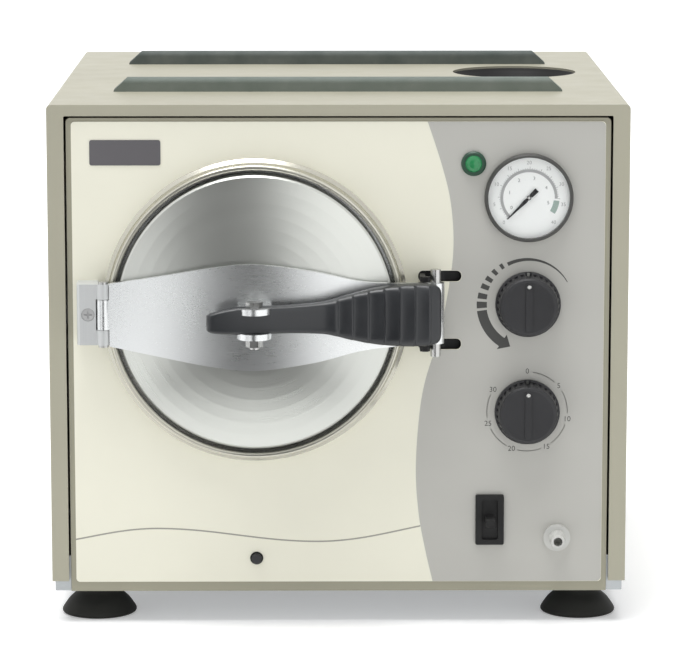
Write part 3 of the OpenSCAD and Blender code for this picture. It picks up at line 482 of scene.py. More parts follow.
FACE_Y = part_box("front_overlay")[0].y
DOOR = (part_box("door_disc")[0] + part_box("door_disc")[1]) / 2


def catmull(points: Sequence[Point2], steps: int) -> list[Point2]:
    """Draws a smooth line through points.

    Args:
        points: The points it passes through.
        steps: Steps from each point to the next.

    Returns:
        The line's points, with both ends.
    """
    line = []
    for i in range(len(points) - 1):
        ends = [points[max(0, min(k, len(points) - 1))] for k in (i - 1, i, i + 1, i + 2)]
        for step in range(steps):
            t = step / steps
            line.append(tuple(0.5 * (2 * b + (c - a) * t + (2 * a - 5 * b + 4 * c - d) * t * t
                                     + (3 * b - a - 3 * c + d) * t ** 3) for a, b, c, d in zip(*ends)))
    return [*line, points[-1]]


def eased(turns: Sequence[Point2], x: float) -> float:
    """Reads a line that runs level through its turning points and eases from each to the next.

    Args:
        turns: The turning points, in order of x.
        x: A place within them.

    Returns:
        The line's height there.
    """
    for (x0, z0), (x1, z1) in zip(turns, turns[1:]):
        if x0 <= x <= x1:
            return z0 + (z1 - z0) * (1 - math.cos(math.pi * (x - x0) / (x1 - x0))) / 2
    raise ValueError(f"{x} is outside the turning points")


def arc(centre: Point2, radius: float, start: float, end: float, steps: int = 32) -> list[Point2]:
    """Gives points round an arc.

    Args:
        centre: Its centre.
        radius: Its radius.
        start: The first angle in degrees, clockwise from the top.
        end: The last angle.
        steps: The number of steps.

    Returns:
        The points, with both ends.
    """
    turns = (math.radians(start + (end - start) * i / steps) for i in range(steps + 1))
    return [(centre[0] + radius * math.sin(t), centre[1] + radius * math.cos(t)) for t in turns]


def polar(centre: Point2, radius: float, turn: float) -> Point2:
    """Gives the point at an angle in degrees, clockwise from the top."""
    return arc(centre, radius, turn, turn, 1)[0]


def band(centre: Point2, inner: float, outer: float, start: float, end: float,
         steps: int = 32) -> list[Point2]:
    """Gives the outline of a part of a ring, as arc() measures its angles."""
    return arc(centre, outer, start, end, steps) + arc(centre, inner, end, start, steps)


def rounded(centre: Point2, width: float, height: float, radius: float, steps: int = 6) -> list[Point2]:
    """Gives the outline of a rectangle with round corners.

    Args:
        centre: Its centre.
        width: Its size along the first axis.
        height: Its size along the second axis.
        radius: The corners' radius.
        steps: Steps round each corner.

    Returns:
        The outline.
    """
    line: list[Point2] = []
    for turn, (sx, sy) in enumerate(((1, 1), (1, -1), (-1, -1), (-1, 1))):
        at = (centre[0] + sx * (width / 2 - radius), centre[1] + sy * (height / 2 - radius))
        line += arc(at, radius, 90 * turn, 90 * turn + 90, steps)
    return line


@dataclass
class Piece:
    """A mesh under construction that becomes one object riding on a body."""

    name: str
    body: str = "cabinet"
    mesh: bmesh.types.BMesh = field(default_factory=bmesh.new)

    def sheet(self, outline: Sequence[Point2], level: float, thick: float = 0.0) -> None:
        """Adds a flat shape that faces the front.

        Args:
            outline: Points in X and Z, in millimetres.
            level: Its face's distance out from the overlay, in millimetres.
            thick: Its thickness in millimetres, or 0 for a bare face.
        """
        y = FACE_Y - level * MM
        ring = [self.mesh.verts.new((x * MM, y, z * MM)) for x, z in outline]
        face = self.mesh.faces.new(ring)
        face.normal_update()
        if face.normal.y > 0:
            face.normal_flip()
        if thick:
            bmesh.ops.extrude_face_region(self.mesh, geom=[face])
            bmesh.ops.translate(self.mesh, verts=ring, vec=(0, thick * MM, 0))

    def revolve(self, line: Sequence[Point3], centre: Point3, axis: Axis, steps: int) -> None:
        """Turns a line of points about an axis of the frame.

        Args:
            line: The points, in metres.
            centre: A point of the axis, in metres.
            axis: The axis's direction.
            steps: Steps round.
        """
        verts = [self.mesh.verts.new(point) for point in line]
        edges = [self.mesh.edges.new(pair) for pair in zip(verts, verts[1:])]
        pole = tuple(float(axis is one) for one in Axis)
        bmesh.ops.spin(self.mesh, geom=verts + edges, cent=centre, axis=pole, angle=math.tau, steps=steps,
                       use_merge=True)
        bmesh.ops.remove_doubles(self.mesh, verts=self.mesh.verts, dist=WELD)

    def spin(self, profile: Sequence[Point2], centre: Point2, steps: int = 96) -> None:
        """Turns a profile about an axis along Y.

        Args:
            profile: Points of radius and distance out from the overlay, in millimetres.
            centre: The axis in X and Z, in millimetres.
            steps: Steps round.
        """
        cx, cz = (c * MM for c in centre)
        line = [(cx + r * MM, FACE_Y - out * MM, cz) for r, out in profile]
        self.revolve(line, (cx, 0, cz), Axis.Y, steps)

    def turn_upright(self, profile: Sequence[Point2], centre: Point2, steps: int = 64) -> None:
        """Turns a profile about an upright axis.

        Args:
            profile: Points of radius and height, in millimetres.
            centre: The axis in X and Y, in metres.
            steps: Steps round.
        """
        cx, cy = centre
        line = [(cx + r * MM, cy, z * MM) for r, z in profile]
        self.revolve(line, (cx, cy, 0), Axis.Z, steps)

    def loft(self, rings: Sequence[Sequence[Vector]]) -> None:
        """Skins closed rings of equal length in turn and closes both ends.

        Args:
            rings: The rings' points, in metres.
        """
        rows = [[self.mesh.verts.new(p) for p in ring] for ring in rings]
        count = len(rows[0])
        for a, b in zip(rows, rows[1:]):
            for i in range(count):
                self.mesh.faces.new((a[i], a[(i + 1) % count], b[(i + 1) % count], b[i]))
        self.mesh.faces.new(rows[0][::-1])
        self.mesh.faces.new(rows[-1])

    def done(self, material: bpy.types.Material, smooth: Optional[float] = 40.0,
             replaces: Iterable[str] = ()) -> None:
        """Turns the mesh into an object.

        Args:
            material: Its material.
            smooth: The angle in degrees up to which edges are smooth, or None for flat faces.
            replaces: CAD nodes that it stands for.
        """
        bmesh.ops.recalc_face_normals(self.mesh, faces=self.mesh.faces)
        data = bpy.data.meshes.new(self.name)
        if smooth is not None:
            for face in self.mesh.faces:
                face.smooth = True
            for edge in self.mesh.edges:
                edge.smooth = len(edge.link_faces) < 2 or edge.calc_face_angle(0) < math.radians(smooth)
        self.mesh.to_mesh(data)
        self.mesh.free()
        made = bpy.data.objects.new(self.name, data)
        bpy.context.scene.collection.objects.link(made)
        data.materials.append(material)
        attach(made, self.body)
        for name in replaces:
            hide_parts(name)
        LOG.info("%s: %d faces on %s", self.name, len(data.polygons), self.body)

    def number(self, text: str, centre: Point2, height: float, level: float) -> None:
        """Adds upright figures as flat shapes.

        Args:
            text: The figures.
            centre: Their centre in X and Z, in millimetres.
            height: The height of a figure in millimetres.
            level: Their distance out from the overlay, in millimetres.
        """
        curve = bpy.data.curves.new("figures", "FONT")
        curve.body = text
        curve.size = height * MM / FIGURE_SHARE
        curve.align_x = "CENTER"
        curve.align_y = "CENTER"
        curve.resolution_u = 3
        writer = bpy.data.objects.new("figures", curve)
        bpy.context.scene.collection.objects.link(writer)
        bpy.context.view_layer.update()
        flat = bpy.data.meshes.new_from_object(writer)
        place = (Matrix.Translation((centre[0] * MM, FACE_Y - level * MM, centre[1] * MM))
                 @ Matrix.Rotation(math.pi / 2, 4, "X"))
        flat.transform(place)
        self.mesh.from_mesh(flat)
        bpy.data.objects.remove(writer)
        bpy.data.meshes.remove(flat)
        bpy.data.curves.remove(curve)


# ---------------------------------------------------------------- finishes


class Finish(Enum):
    """The finishes, each by the record's slot that it dresses."""

    CABINET = "cabinet_paint"
    PANEL = "panel_paint"
    ZINC = "galvanised"
    FILM = "overlay_film"
    SCREW = "screw_steel"
    RUBBER = "foot_rubber"
    RAIL = "rail_plastic"
    BLACK = "black_plastic"
    TANK = "tank_plastic"
    STAINLESS = "stainless"
    WRAP = "insulation"
    POLISHED = "polished_steel"
    DARK_STEEL = "dark_steel"
    BRASS = "brass"
    COPPER = "copper"
    VALVE = "valve_plastic"
    BEZEL = "bezel_grey"
    DIAL = "dial_white"
    POINTER = "pointer_black"
    LENS = "clear_lens"
    LAMP_BODY = "lamp_green_dark"
    LAMP = "lamp_green"
    KNOB = "knob_plastic"
    CERAMIC = "ceramic_white"
    BLACK_STEEL = "black_steel"
    SATIN = "satin_steel"
    SPUN = "spun_steel"
    SILICONE = "silicone"
    HANDLE = "handle_plastic"


DOOR_AXIS = (DOOR.x, DOOR.z)
RECIPES: dict[Finish, object] = {
    Finish.CABINET: Paint("cabinet_paint", srgb(175, 172, 154), 0.42),
    Finish.PANEL: Paint("panel_paint", srgb(160, 157, 139), 0.45),
    Finish.ZINC: Brushed("galvanised", srgb(176, 180, 182), 0.42, Axis.Y, 60.0),
    Finish.FILM: Paint("overlay_film", srgb(241, 239, 222), 0.4),
    Finish.SCREW: Brushed("screw_steel", srgb(190, 190, 188), 0.28, Axis.Z, 900.0),
    Finish.RUBBER: Moulded("foot_rubber", srgb(38, 38, 35), 0.66, 900.0, 0.00008, specular=0.25),
    # The rails' rear is painted darker than their front as painted shade
    Finish.RAIL: DepthShaded("rail_plastic", srgb(121, 130, 123), srgb(90, 97, 94), (-0.12, 0.12)),
    Finish.BLACK: Moulded("black_plastic", srgb(22, 22, 22), 0.5, specular=0.3),
    Finish.TANK: Moulded("tank_plastic", srgb(214, 214, 206), 0.5),
    Finish.STAINLESS: Brushed("stainless", srgb(200, 201, 200), 0.26, Axis.Y),
    Finish.WRAP: Woven("insulation", srgb(205, 198, 176)),
    Finish.POLISHED: Spun("polished_steel", srgb(194, 192, 180), DOOR_AXIS, 0.2, 1800.0, 0.7),
    Finish.DARK_STEEL: Brushed("dark_steel", srgb(84, 84, 86), 0.4, Axis.Z),
    Finish.BRASS: Brushed("brass", srgb(196, 164, 96), 0.27, Axis.Z),
    Finish.COPPER: Brushed("copper", srgb(190, 116, 84), 0.3, Axis.X),
    Finish.VALVE: Moulded("valve_plastic", srgb(196, 196, 192), 0.45),
    Finish.BEZEL: Moulded("bezel_grey", srgb(62, 62, 60), 0.38, coat=0.2),
    Finish.DIAL: Paint("dial_white", srgb(248, 250, 248), 0.5),
    Finish.POINTER: Moulded("pointer_black", srgb(28, 28, 30), 0.4),
    Finish.LENS: Clear("clear_lens", srgb(252, 254, 254), 0.0, alpha=0.07),
    Finish.LAMP_BODY: Moulded("lamp_green_dark", srgb(38, 70, 54), 0.35),
    Finish.LAMP: Clear("lamp_green", srgb(56, 150, 94), 0.12, 0.35, 0.1),
    Finish.KNOB: Moulded("knob_plastic", srgb(42, 42, 44), 0.46, specular=0.35),
    Finish.CERAMIC: Moulded("ceramic_white", srgb(226, 224, 214), 0.3, coat=0.3),
    Finish.BLACK_STEEL: Paint("black_steel", srgb(20, 20, 21), 0.5),
    Finish.SATIN: Brushed("satin_steel", srgb(221, 223, 223), 0.28, Axis.X, depth=0.000005),
    Finish.SPUN: Spun("spun_steel", srgb(200, 202, 197), DOOR_AXIS, 0.29, metallic=0.93),
    Finish.SILICONE: Moulded("silicone", srgb(176, 66, 48), 0.5),
    Finish.HANDLE: Moulded("handle_plastic", srgb(35, 37, 40), 0.34, 1100.0, 0.00004, specular=0.5),
}


@dataclass
class Palette:
    """Makes each material once."""

    made: dict[Finish, bpy.types.Material] = field(default_factory=dict)

    def get(self, finish: Finish) -> bpy.types.Material:
        """Returns a finish's material, made on first use."""
        if finish not in self.made:
            self.made[finish] = RECIPES[finish].make()
        return self.made[finish]

    def ink(self, name: str, colour: Colour, roughness: float = 0.5) -> bpy.types.Material:
        """Makes a printing ink of its own colour."""
        return Paint(name, colour, roughness).make()

    def dress_nodes(self) -> None:
        """Gives every CAD node the material of its slot in the record."""
        parts = frame["record"]["subparts"]
        for part in parts:
            shown = frame["nodes"][part["node"]]
            shown.data.materials.clear()
            shown.data.materials.append(self.get(Finish(part["material_slot"])))
        LOG.info("%d nodes dressed", len(parts))


# ---------------------------------------------------------------- sub-assemblies


def centre_mm(node: str) -> Point2:
    """Returns the middle of a CAD node in X and Z, in millimetres."""
    low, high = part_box(node)
    return ((low.x + high.x) / 2 / MM, (low.z + high.z) / 2 / MM)


@dataclass
class Assembly:
    """A part of the machine that is built and finished as one."""

    palette: Palette

    def build(self) -> None:
        """Makes the new pieces."""
        raise NotImplementedError

    def smooth(self, names: Iterable[str], width: float) -> None:
        """Softens the sharp edges of CAD nodes with a bevel that leaves their own meshes alone.

        Args:
            names: The nodes.
            width: The bevel's width in millimetres.
        """
        for name in names:
            soft = frame["nodes"][name].modifiers.new("edge", "BEVEL")
            soft.width = width * MM
            soft.segments = 2
            soft.limit_method = "ANGLE"
            soft.angle_limit = math.radians(SHARP_EDGE)
            soft.harden_normals = True


@dataclass
class Overlay(Assembly):
    """The printed film on the front panel: a grey side, a fine wave and a bare plate."""

    side: tuple[Point2, ...] = (
        (58.5, 339), (68, 310), (74, 285), (76, 256), (73, 228), (66.5, 195), (57.5, 165), (53.5, 140),
        (51.5, 105), (53.5, 75), (58, 50), (63, 28.5),
    )
    side_steps: int = 12
    wave_turns: tuple[Point2, ...] = ((-210, 54), (-122, 65), (-14, 56), (100, 72))
    wave_ends: Span = (-176, 54.6)
    wave_steps: int = 84
    wave_half: float = 0.5
    inset: float = 0.15
    corner: float = 3.0
    slot_rise: float = 22.8
    slot_height: float = 7.3
    slot_corner: float = 3.25
    slot_rim: float = 0.2
    guide_wall: float = 3.0
    plate_at: Point2 = (-140.6, 318)
    plate_size: Point2 = (46.8, 16.8)
    plate_corner: float = 1.5
    plate_level: float = 0.5
    plate_thick: float = 0.48

    def notched(self, edge: list[Point2], rise: float) -> list[Point2]:
        """Leads the print's edge round the far end of a latch slot.

        Args:
            edge: The edge's points from the top down, in millimetres.
            rise: The slot's height above the door's middle, in millimetres.

        Returns:
            The edge with the notch.
        """
        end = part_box("latch_guide")[1].x / MM - self.guide_wall + self.slot_rim
        middle, half, bend = DOOR.z / MM + rise, self.slot_height / 2 + self.slot_rim, self.slot_corner
        top, bottom = middle + half, middle - half
        above = [point for point in edge if point[1] > top]
        below = [point for point in edge if point[1] < bottom]
        return [*above, (above[-1][0], top), *arc((end - bend, top - bend), bend, 0, 90, 6),
                *arc((end - bend, bottom + bend), bend, 90, 180, 6), (below[0][0], bottom), *below]

    def build(self) -> None:
        """Prints the film."""
        self.grey_side()
        self.line()
        self.plate()

    def grey_side(self) -> None:
        """Prints the grey side, from its curved edge to the film's right edge."""
        low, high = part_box("front_overlay")
        right, top, bottom = high.x / MM - self.inset, high.z / MM - self.inset, low.z / MM + self.inset
        edge = [(x, min(max(z, bottom), top)) for x, z in catmull(self.side, self.side_steps)]
        for rise in (self.slot_rise, -self.slot_rise):
            edge = self.notched(edge, rise)
        grey = Piece("print_grey_side")
        foot = arc((right - self.corner, bottom + self.corner), self.corner, 180, 90, 8)
        head = arc((right - self.corner, top - self.corner), self.corner, 90, 0, 8)
        grey.sheet([*edge, *foot, *head], PRINT_LEVEL)
        grey.done(self.palette.ink("print_grey", srgb(189, 188, 182), 0.42), None)

    def line(self) -> None:
        """Prints the fine wave."""
        start, end = self.wave_ends
        places = [start + (end - start) * i / self.wave_steps for i in range(self.wave_steps + 1)]
        above = [(x, eased(self.wave_turns, x) + self.wave_half) for x in places]
        below = [(x, eased(self.wave_turns, x) - self.wave_half) for x in places]
        ribbon = Piece("print_wave")
        ribbon.sheet(above + below[::-1], PRINT_LEVEL)
        ribbon.done(self.palette.ink("print_line", srgb(160, 158, 148)), None)

    def plate(self) -> None:
        """Lays the bare dark plate at the upper left."""
        plate = Piece("badge_plate")
        plate.sheet(rounded(self.plate_at, *self.plate_size, self.plate_corner), self.plate_level,
                    self.plate_thick)
        plate.done(self.palette.ink("print_plate", srgb(101, 99, 102), 0.4), 30)


@dataclass
class Scales(Assembly):
    """The marks round the two knobs and their printed figures."""

    level: float = 0.06
    arrow: Span = (27.5, 34.1)
    arrow_turns: Span = (214, 262)
    barbs: Span = (24.8, 36.6)
    tip_radius: float = 30.8
    tip_turn: float = 202
    dash_radius: float = 30.6
    dashes: tuple[Point3, ...] = (
        (269, 6.8, 8), (280, 6.2, 7), (292, 5.5, 6.2), (302.6, 4.9, 5.6), (314, 4.3, 4.9), (325.4, 3.7, 4.2),
    )
    tail_radius: float = 29.9
    tail_start: float = 333
    tail_length: float = 87.6
    tail_halves: Span = (1.25, 0.25)
    tail_steps: int = 30
    minutes: int = 30
    minutes_turn: float = 303
    minute_step: int = 5
    figure_radius: float = 27.2
    figure_height: float = 3.5
    rule: Span = (26.6, 27.0)
    rule_turns: Span = (8, 42.5)

    def build(self) -> None:
        """Prints both scales."""
        ink = self.palette.ink("print_dark", srgb(72, 72, 70))
        self.temperature(ink)
        self.timer(ink)

    def temperature(self, ink: bpy.types.Material) -> None:
        """Prints a swelling arrow, its dashes and a long fine tail.

        Args:
            ink: The printing ink.
        """
        centre = centre_mm("temperature_knob")
        marks = Piece("print_temperature")
        marks.sheet(band(centre, *self.arrow, *self.arrow_turns), self.level)
        root = self.arrow_turns[0]
        marks.sheet([*(polar(centre, radius, root) for radius in self.barbs),
                     polar(centre, self.tip_radius, self.tip_turn)], self.level)
        for turn, width, wide in self.dashes:
            inner, outer = self.dash_radius - width / 2, self.dash_radius + width / 2
            marks.sheet(band(centre, inner, outer, turn - wide / 2, turn + wide / 2, 6), self.level)
        thick, thin = self.tail_halves
        shares = [i / self.tail_steps for i in range(self.tail_steps + 1)]
        tail = [(self.tail_start + self.tail_length * share, thick + (thin - thick) * share)
                for share in shares]
        outer_line = [polar(centre, self.tail_radius + half, turn) for turn, half in tail]
        inner_line = [polar(centre, self.tail_radius - half, turn) for turn, half in tail]
        marks.sheet(outer_line + inner_line[::-1], self.level)
        marks.done(ink, None)

    def timer(self, ink: bpy.types.Material) -> None:
        """Prints the minutes, with a thin arc from each figure to the next.

        Args:
            ink: The printing ink of the figures.
        """
        centre = centre_mm("timer_knob")
        marks = Piece("print_timer")
        rule = Piece("print_timer_arc")
        for minute in range(0, self.minutes + 1, self.minute_step):
            turn = self.minutes_turn * minute / self.minutes
            marks.number(str(minute), polar(centre, self.figure_radius, turn), self.figure_height, self.level)
            if minute < self.minutes:
                start, end = (turn + off for off in self.rule_turns)
                rule.sheet(band(centre, *self.rule, start, end, 16), PRINT_LEVEL)
        marks.done(ink, None)
        rule.done(self.palette.ink("print_faint", srgb(152, 151, 145)), None)


@dataclass
class Gauge(Assembly):
    """The round gauge's two printed scales and its pointer."""

    ring: Span = (17.0, 18.9)
    ring_turns: Span = (226, 452)
    ring_steps: int = 90
    marks: int = 50
    mark_tops: Span = (20.6, 19.7)
    mark_half: float = 0.5
    patch: Span = (16.4, 20.2)
    patch_turns: Span = (96, 122)
    outer_turns: Span = (225, 270)
    outer_radius: float = 23.2
    outer_height: float = 2.4
    inner_turns: Span = (240, 225)
    inner_radius: float = 13.2
    inner_height: float = 2.3
    needle_turn: float = 225
    needle: tuple[Point2, ...] = (
        (-7.4, 1.55), (-2.0, 1.35), (-1.6, 0.9), (1.6, 0.95), (3.4, 1.25), (9.0, 0.8), (20.0, 0.3),
    )
    needle_drop: float = 0.3
    needle_thick: float = 0.6
    hub_radius: float = 1.5
    hub_drop: float = 4.0
    pin: tuple[Point2, ...] = ((0, 0), (0.6, -0.05), (0.95, -0.3), (0, -0.3))

    def build(self) -> None:
        """Prints the dial and lays the pointer on it."""
        centre = centre_mm("gauge_dial")
        level = (FACE_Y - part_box("gauge_dial")[0].y) / MM + PRINT_LEVEL
        self.scale(centre, level)
        self.figures("gauge_figures_outer", self.outer_turns, [step * 5 for step in range(9)],
                     self.outer_radius, self.outer_height, level, "gauge_pale", srgb(172, 174, 172))
        self.figures("gauge_figures_inner", self.inner_turns, list(range(6)),
                     self.inner_radius, self.inner_height, level, "gauge_mid", srgb(128, 130, 130))
        self.pointer(centre)

    def scale(self, centre: Point2, level: float) -> None:
        """Prints the grey ring with its marks, and the green patch of the working range.

        Args:
            centre: The dial's middle in X and Z, in millimetres.
            level: The print's distance out from the overlay, in millimetres.
        """
        ring = Piece("gauge_scale")
        ring.sheet(band(centre, *self.ring, *self.ring_turns, self.ring_steps), level)
        start, end = self.ring_turns
        long, short = self.mark_tops
        for step in range(self.marks + 1):
            turn = start + (end - start) * step / self.marks
            top = long if step % 5 == 0 else short
            mark = band(centre, self.ring[1], top, turn - self.mark_half, turn + self.mark_half, 2)
            ring.sheet(mark, level)
        ring.done(self.palette.ink("gauge_grey", srgb(172, 173, 173)), None)
        patch = Piece("gauge_field")
        patch.sheet(band(centre, *self.patch, *self.patch_turns, 12), level)
        patch.done(self.palette.ink("gauge_green", srgb(160, 178, 170)), None)

    def figures(self, name: str, turns: Span, values: Sequence[int], radius: float, height: float,
                level: float, ink: str, colour: Colour) -> None:
        """Prints a ring of figures.

        Args:
            name: The piece's name.
            turns: The first figure's angle and the angle to the last one, in degrees.
            values: The figures.
            radius: The ring's radius in millimetres.
            height: The figures' height in millimetres.
            level: Their distance out from the overlay, in millimetres.
            ink: The ink's name.
            colour: The ink's colour.
        """
        centre = centre_mm("gauge_dial")
        printed = Piece(name)
        for step, value in enumerate(values):
            turn = turns[0] + turns[1] * step / (len(values) - 1)
            printed.number(str(value), polar(centre, radius, turn), height, level)
        printed.done(self.palette.ink(ink, colour), None)

    def pointer(self, centre: Point2) -> None:
        """Makes the pointer: a tapering needle, a thick tail and a bright pin.

        Args:
            centre: The dial's middle in X and Z, in millimetres.
        """
        front = (FACE_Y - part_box("gauge_pointer")[0].y) / MM
        needle = Piece("pointer_needle", "pointer")
        turn = math.radians(self.needle_turn)
        along, across = (math.sin(turn), math.cos(turn)), (math.cos(turn), -math.sin(turn))
        side = [*self.needle, *((reach, -half) for reach, half in self.needle[::-1])]
        face, back = front - self.needle_drop, front - self.hub_drop
        needle.sheet([tuple(centre[i] + along[i] * reach + across[i] * half for i in (0, 1))
                      for reach, half in side], face, self.needle_thick)
        needle.spin([(0, face), (self.hub_radius, face), (self.hub_radius, back), (0, back)], centre, 32)
        needle.done(self.palette.get(Finish.POINTER), 30, ("gauge_pointer",))
        pin = Piece("pointer_pin", "pointer")
        pin.spin([(radius, front + out) for radius, out in self.pin], centre, 24)
        pin.done(self.palette.get(Finish.SCREW))


@dataclass
class Knobs(Assembly):
    """The two fluted knobs: a white dot near the edge, a painted highlight along the ridge and a mark on the
    skirt.
    """

    rim_step: float = 1.0
    dot: tuple[Point2, ...] = ((0, 0.4), (1.2, 0.33), (1.85, 0.05), (1.85, -0.3), (0, -0.3))
    dot_inset: float = 7.65
    # Width, ends and level of the light strip that paints a highlight along each knob's ridge
    highlight_half: float = 0.55
    highlight_ends: Span = (-14.5, 10.6)
    highlight_level: float = 0.86
    index_inset: float = 1.5
    index_size: Point2 = (1.7, 2.4)
    index_corner: float = 0.5
    index_level: float = 3.1
    index_thick: float = 0.3
    edge: float = 0.35

    def build(self) -> None:
        """Marks each knob."""
        dot_ink = self.palette.ink("knob_dot_white", srgb(240, 240, 236))
        # A lighter grey that paints the highlight of each knob's lit ridge edge
        ridge_highlight_ink = self.palette.ink("knob_ridge_highlight", srgb(78, 78, 80))
        self.mark("temperature_knob", "temperature_control", dot_ink, ridge_highlight_ink, srgb(150, 151, 146))
        self.mark("timer_knob", "timer_control", dot_ink, ridge_highlight_ink, srgb(96, 97, 94))
        self.smooth(("temperature_knob", "timer_knob"), self.edge)

    def mark(self, name: str, body: str, dot_ink: bpy.types.Material, ridge_highlight_ink: bpy.types.Material,
             tone: Colour) -> None:
        """Fills a knob's dot, line and skirt mark.

        Args:
            name: The knob's CAD node.
            body: The body that it turns with.
            dot_ink: The dot's ink.
            ridge_highlight_ink: The ink of the painted highlight along the ridge.
            tone: The colour of the mark on the skirt.
        """
        low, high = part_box(name)
        cx, cz = centre_mm(name)
        out = (FACE_Y - low.y) / MM - self.rim_step
        rim = (high.z - low.z) / 2 / MM
        dot = Piece(name + "_dot", body)
        dot.spin([(radius, out + rise) for radius, rise in self.dot], (cx, cz + rim - self.dot_inset), 24)
        dot.done(dot_ink)
        # A light strip along the knob's ridge: a painted highlight of the ridge's lit edge, not a printed
        # line
        ridge_highlight = Piece(name + "_ridge_highlight", body)
        left, right = cx - self.highlight_half, cx + self.highlight_half
        foot, head = (cz + end for end in self.highlight_ends)
        ridge_highlight.sheet([(left, foot), (right, foot), (right, head), (left, head)], out + self.highlight_level)
        ridge_highlight.done(ridge_highlight_ink, None)
        index = Piece(name + "_index", body)
        at = (cx, cz + rim - self.index_inset)
        index.sheet(rounded(at, *self.index_size, self.index_corner), self.index_level, self.index_thick)
        index.done(self.palette.ink(name + "_mark", tone), None)


@dataclass
class LeverHandle(Assembly):
    """The moulded lever with a swelling, ribbed palm grip."""

    top: tuple[Point2, ...] = (
        (-31, 6.0), (-28, 7.4), (-20, 9.6), (-12, 10.8), (0, 11), (22, 11), (46, 12.5), (63, 16.7),
        (80, 20.3), (100, 22.4), (116.5, 22.2), (122.4, 20.2), (124.6, 16),
    )
    low: tuple[Point2, ...] = (
        (-31, -4.2), (-28, -5.5), (-20, -6.4), (-12, -6.8), (0, -7), (22, -7), (46, -8.5), (63, -12.7),
        (80, -16.3), (100, -18.4), (116.5, -18.2), (122.4, -16.2), (124.6, -12),
    )
    front: tuple[Point2, ...] = (
        (-31, 3.0), (-28, 4.4), (-12, 6.2), (0, 6.6), (25, 5.7), (51, 5.6), (86, 7.1), (114, 7.4),
        (122.4, 5.6), (124.6, 1.4),
    )
    back: tuple[Point2, ...] = (
        (-31, -3.0), (-10, -4.5), (12, -5.3), (40, -5.5), (71, -6.4), (110, -7.4), (121.4, -5.9),
        (124.6, -1.9),
    )
    tilt: float = 11.4
    fullness: float = 0.42
    neck_places: tuple[float, ...] = (
        -31, -30.4, -29, -26, -20, -12, 0, 12, 22, 34, 44, 46, 48, 50, 51.5, 53,
    )
    palm_start: float = 54
    palm_step: float = 0.6
    palm_count: int = 106
    end_places: tuple[float, ...] = (118.5, 120, 121.5, 122.8, 123.8, 124.4)
    ridges: Span = (44.6, 116.7)
    ridge_pitch: float = 10.3
    ridge_height: float = 1.8
    ridge_crest: float = 0.88

    @staticmethod
    def at(line: Sequence[Point2], x: float) -> float:
        """Reads a smooth line's height over x.

        Args:
            line: The points that it passes through, in order of x.
            x: The place.

        Returns:
            The height there.
        """
        fine = catmull(line, 8)
        for (x0, z0), (x1, z1) in zip(fine, fine[1:]):
            if x0 <= x <= x1:
                return z0 + (z1 - z0) * (x - x0) / max(x1 - x0, 1e-9)
        return fine[-1][1]

    def section(self, x: float, sides: int = 28) -> list[Vector]:
        """Gives the handle's closed section at a place along it.

        Args:
            x: The distance from the pivot towards the grip, in millimetres.
            sides: The number of points round it.

        Returns:
            The points in the frame, in metres.
        """
        high, low = self.at(self.top, x), self.at(self.low, x)
        out, back = self.at(self.front, x), self.at(self.back, x)
        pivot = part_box("pivot_bolt")
        px, py = (pivot[0].x + pivot[1].x) / 2, (pivot[0].y + pivot[1].y) / 2
        turn = math.radians(self.tilt)
        ring = []
        for i in range(sides):
            t = math.tau * i / sides
            up, forth = (math.copysign(abs(share) ** self.fullness, share)
                         for share in (math.cos(t), math.sin(t)))
            z = (high + low) / 2 + (high - low) / 2 * up
            depth = (out + back) / 2 + (out - back) / 2 * forth
            along = x * math.cos(turn) + depth * math.sin(turn)
            away = depth * math.cos(turn) - x * math.sin(turn)
            ring.append(Vector((px + along * MM, py - away * MM, DOOR.z + z * MM)))
        return ring

    def build(self) -> None:
        """Lofts the handle with stepped ridges across the palm."""
        grip = Piece("lever_handle", "lever_handle")
        palm = [self.palm_start + self.palm_step * i for i in range(self.palm_count)]
        start, end = self.ridges
        rings = []
        for x in (*self.neck_places, *palm, *self.end_places):
            ring = self.section(x)
            if start < x < end:
                ring = [self.ridge(p, x, i, len(ring)) for i, p in enumerate(ring)]
            rings.append(ring)
        grip.loft(rings)
        grip.done(self.palette.get(Finish.HANDLE), 50, ("handle",))

    def ridge(self, point: Vector, x: float, index: int, count: int) -> Vector:
        """Raises a point of the front into the ridge that it belongs to.

        Args:
            point: The point.
            x: Its distance along the handle.
            index: Its number round the section.
            count: The number of points round the section.

        Returns:
            The moved point.
        """
        front = max(math.sin(math.tau * index / count), 0.0) ** 0.5
        phase = ((x - self.ridges[0]) / self.ridge_pitch) % 1.0
        if phase < self.ridge_crest:
            share = (phase / self.ridge_crest) ** 1.6
        else:
            share = (1 - phase) / (1 - self.ridge_crest)
        return point + Vector((0, -self.ridge_height * share * front * MM, 0))


@dataclass
class Lamp(Assembly):
    """The bright spot that shows through the pilot lamp's lens."""

    spot_radius: float = 2.4
    spot_depths: Span = (-3.2, -2.8)

    def build(self) -> None:
        """Adds the spot."""
        back, face = self.spot_depths
        spot = Piece("lamp_spot")
        spot.spin([(0, back), (self.spot_radius, back), (self.spot_radius, face), (0, face)],
                  centre_mm("lamp_lens"), 24)
        spot.done(self.palette.ink("lamp_inner", srgb(150, 220, 180)))


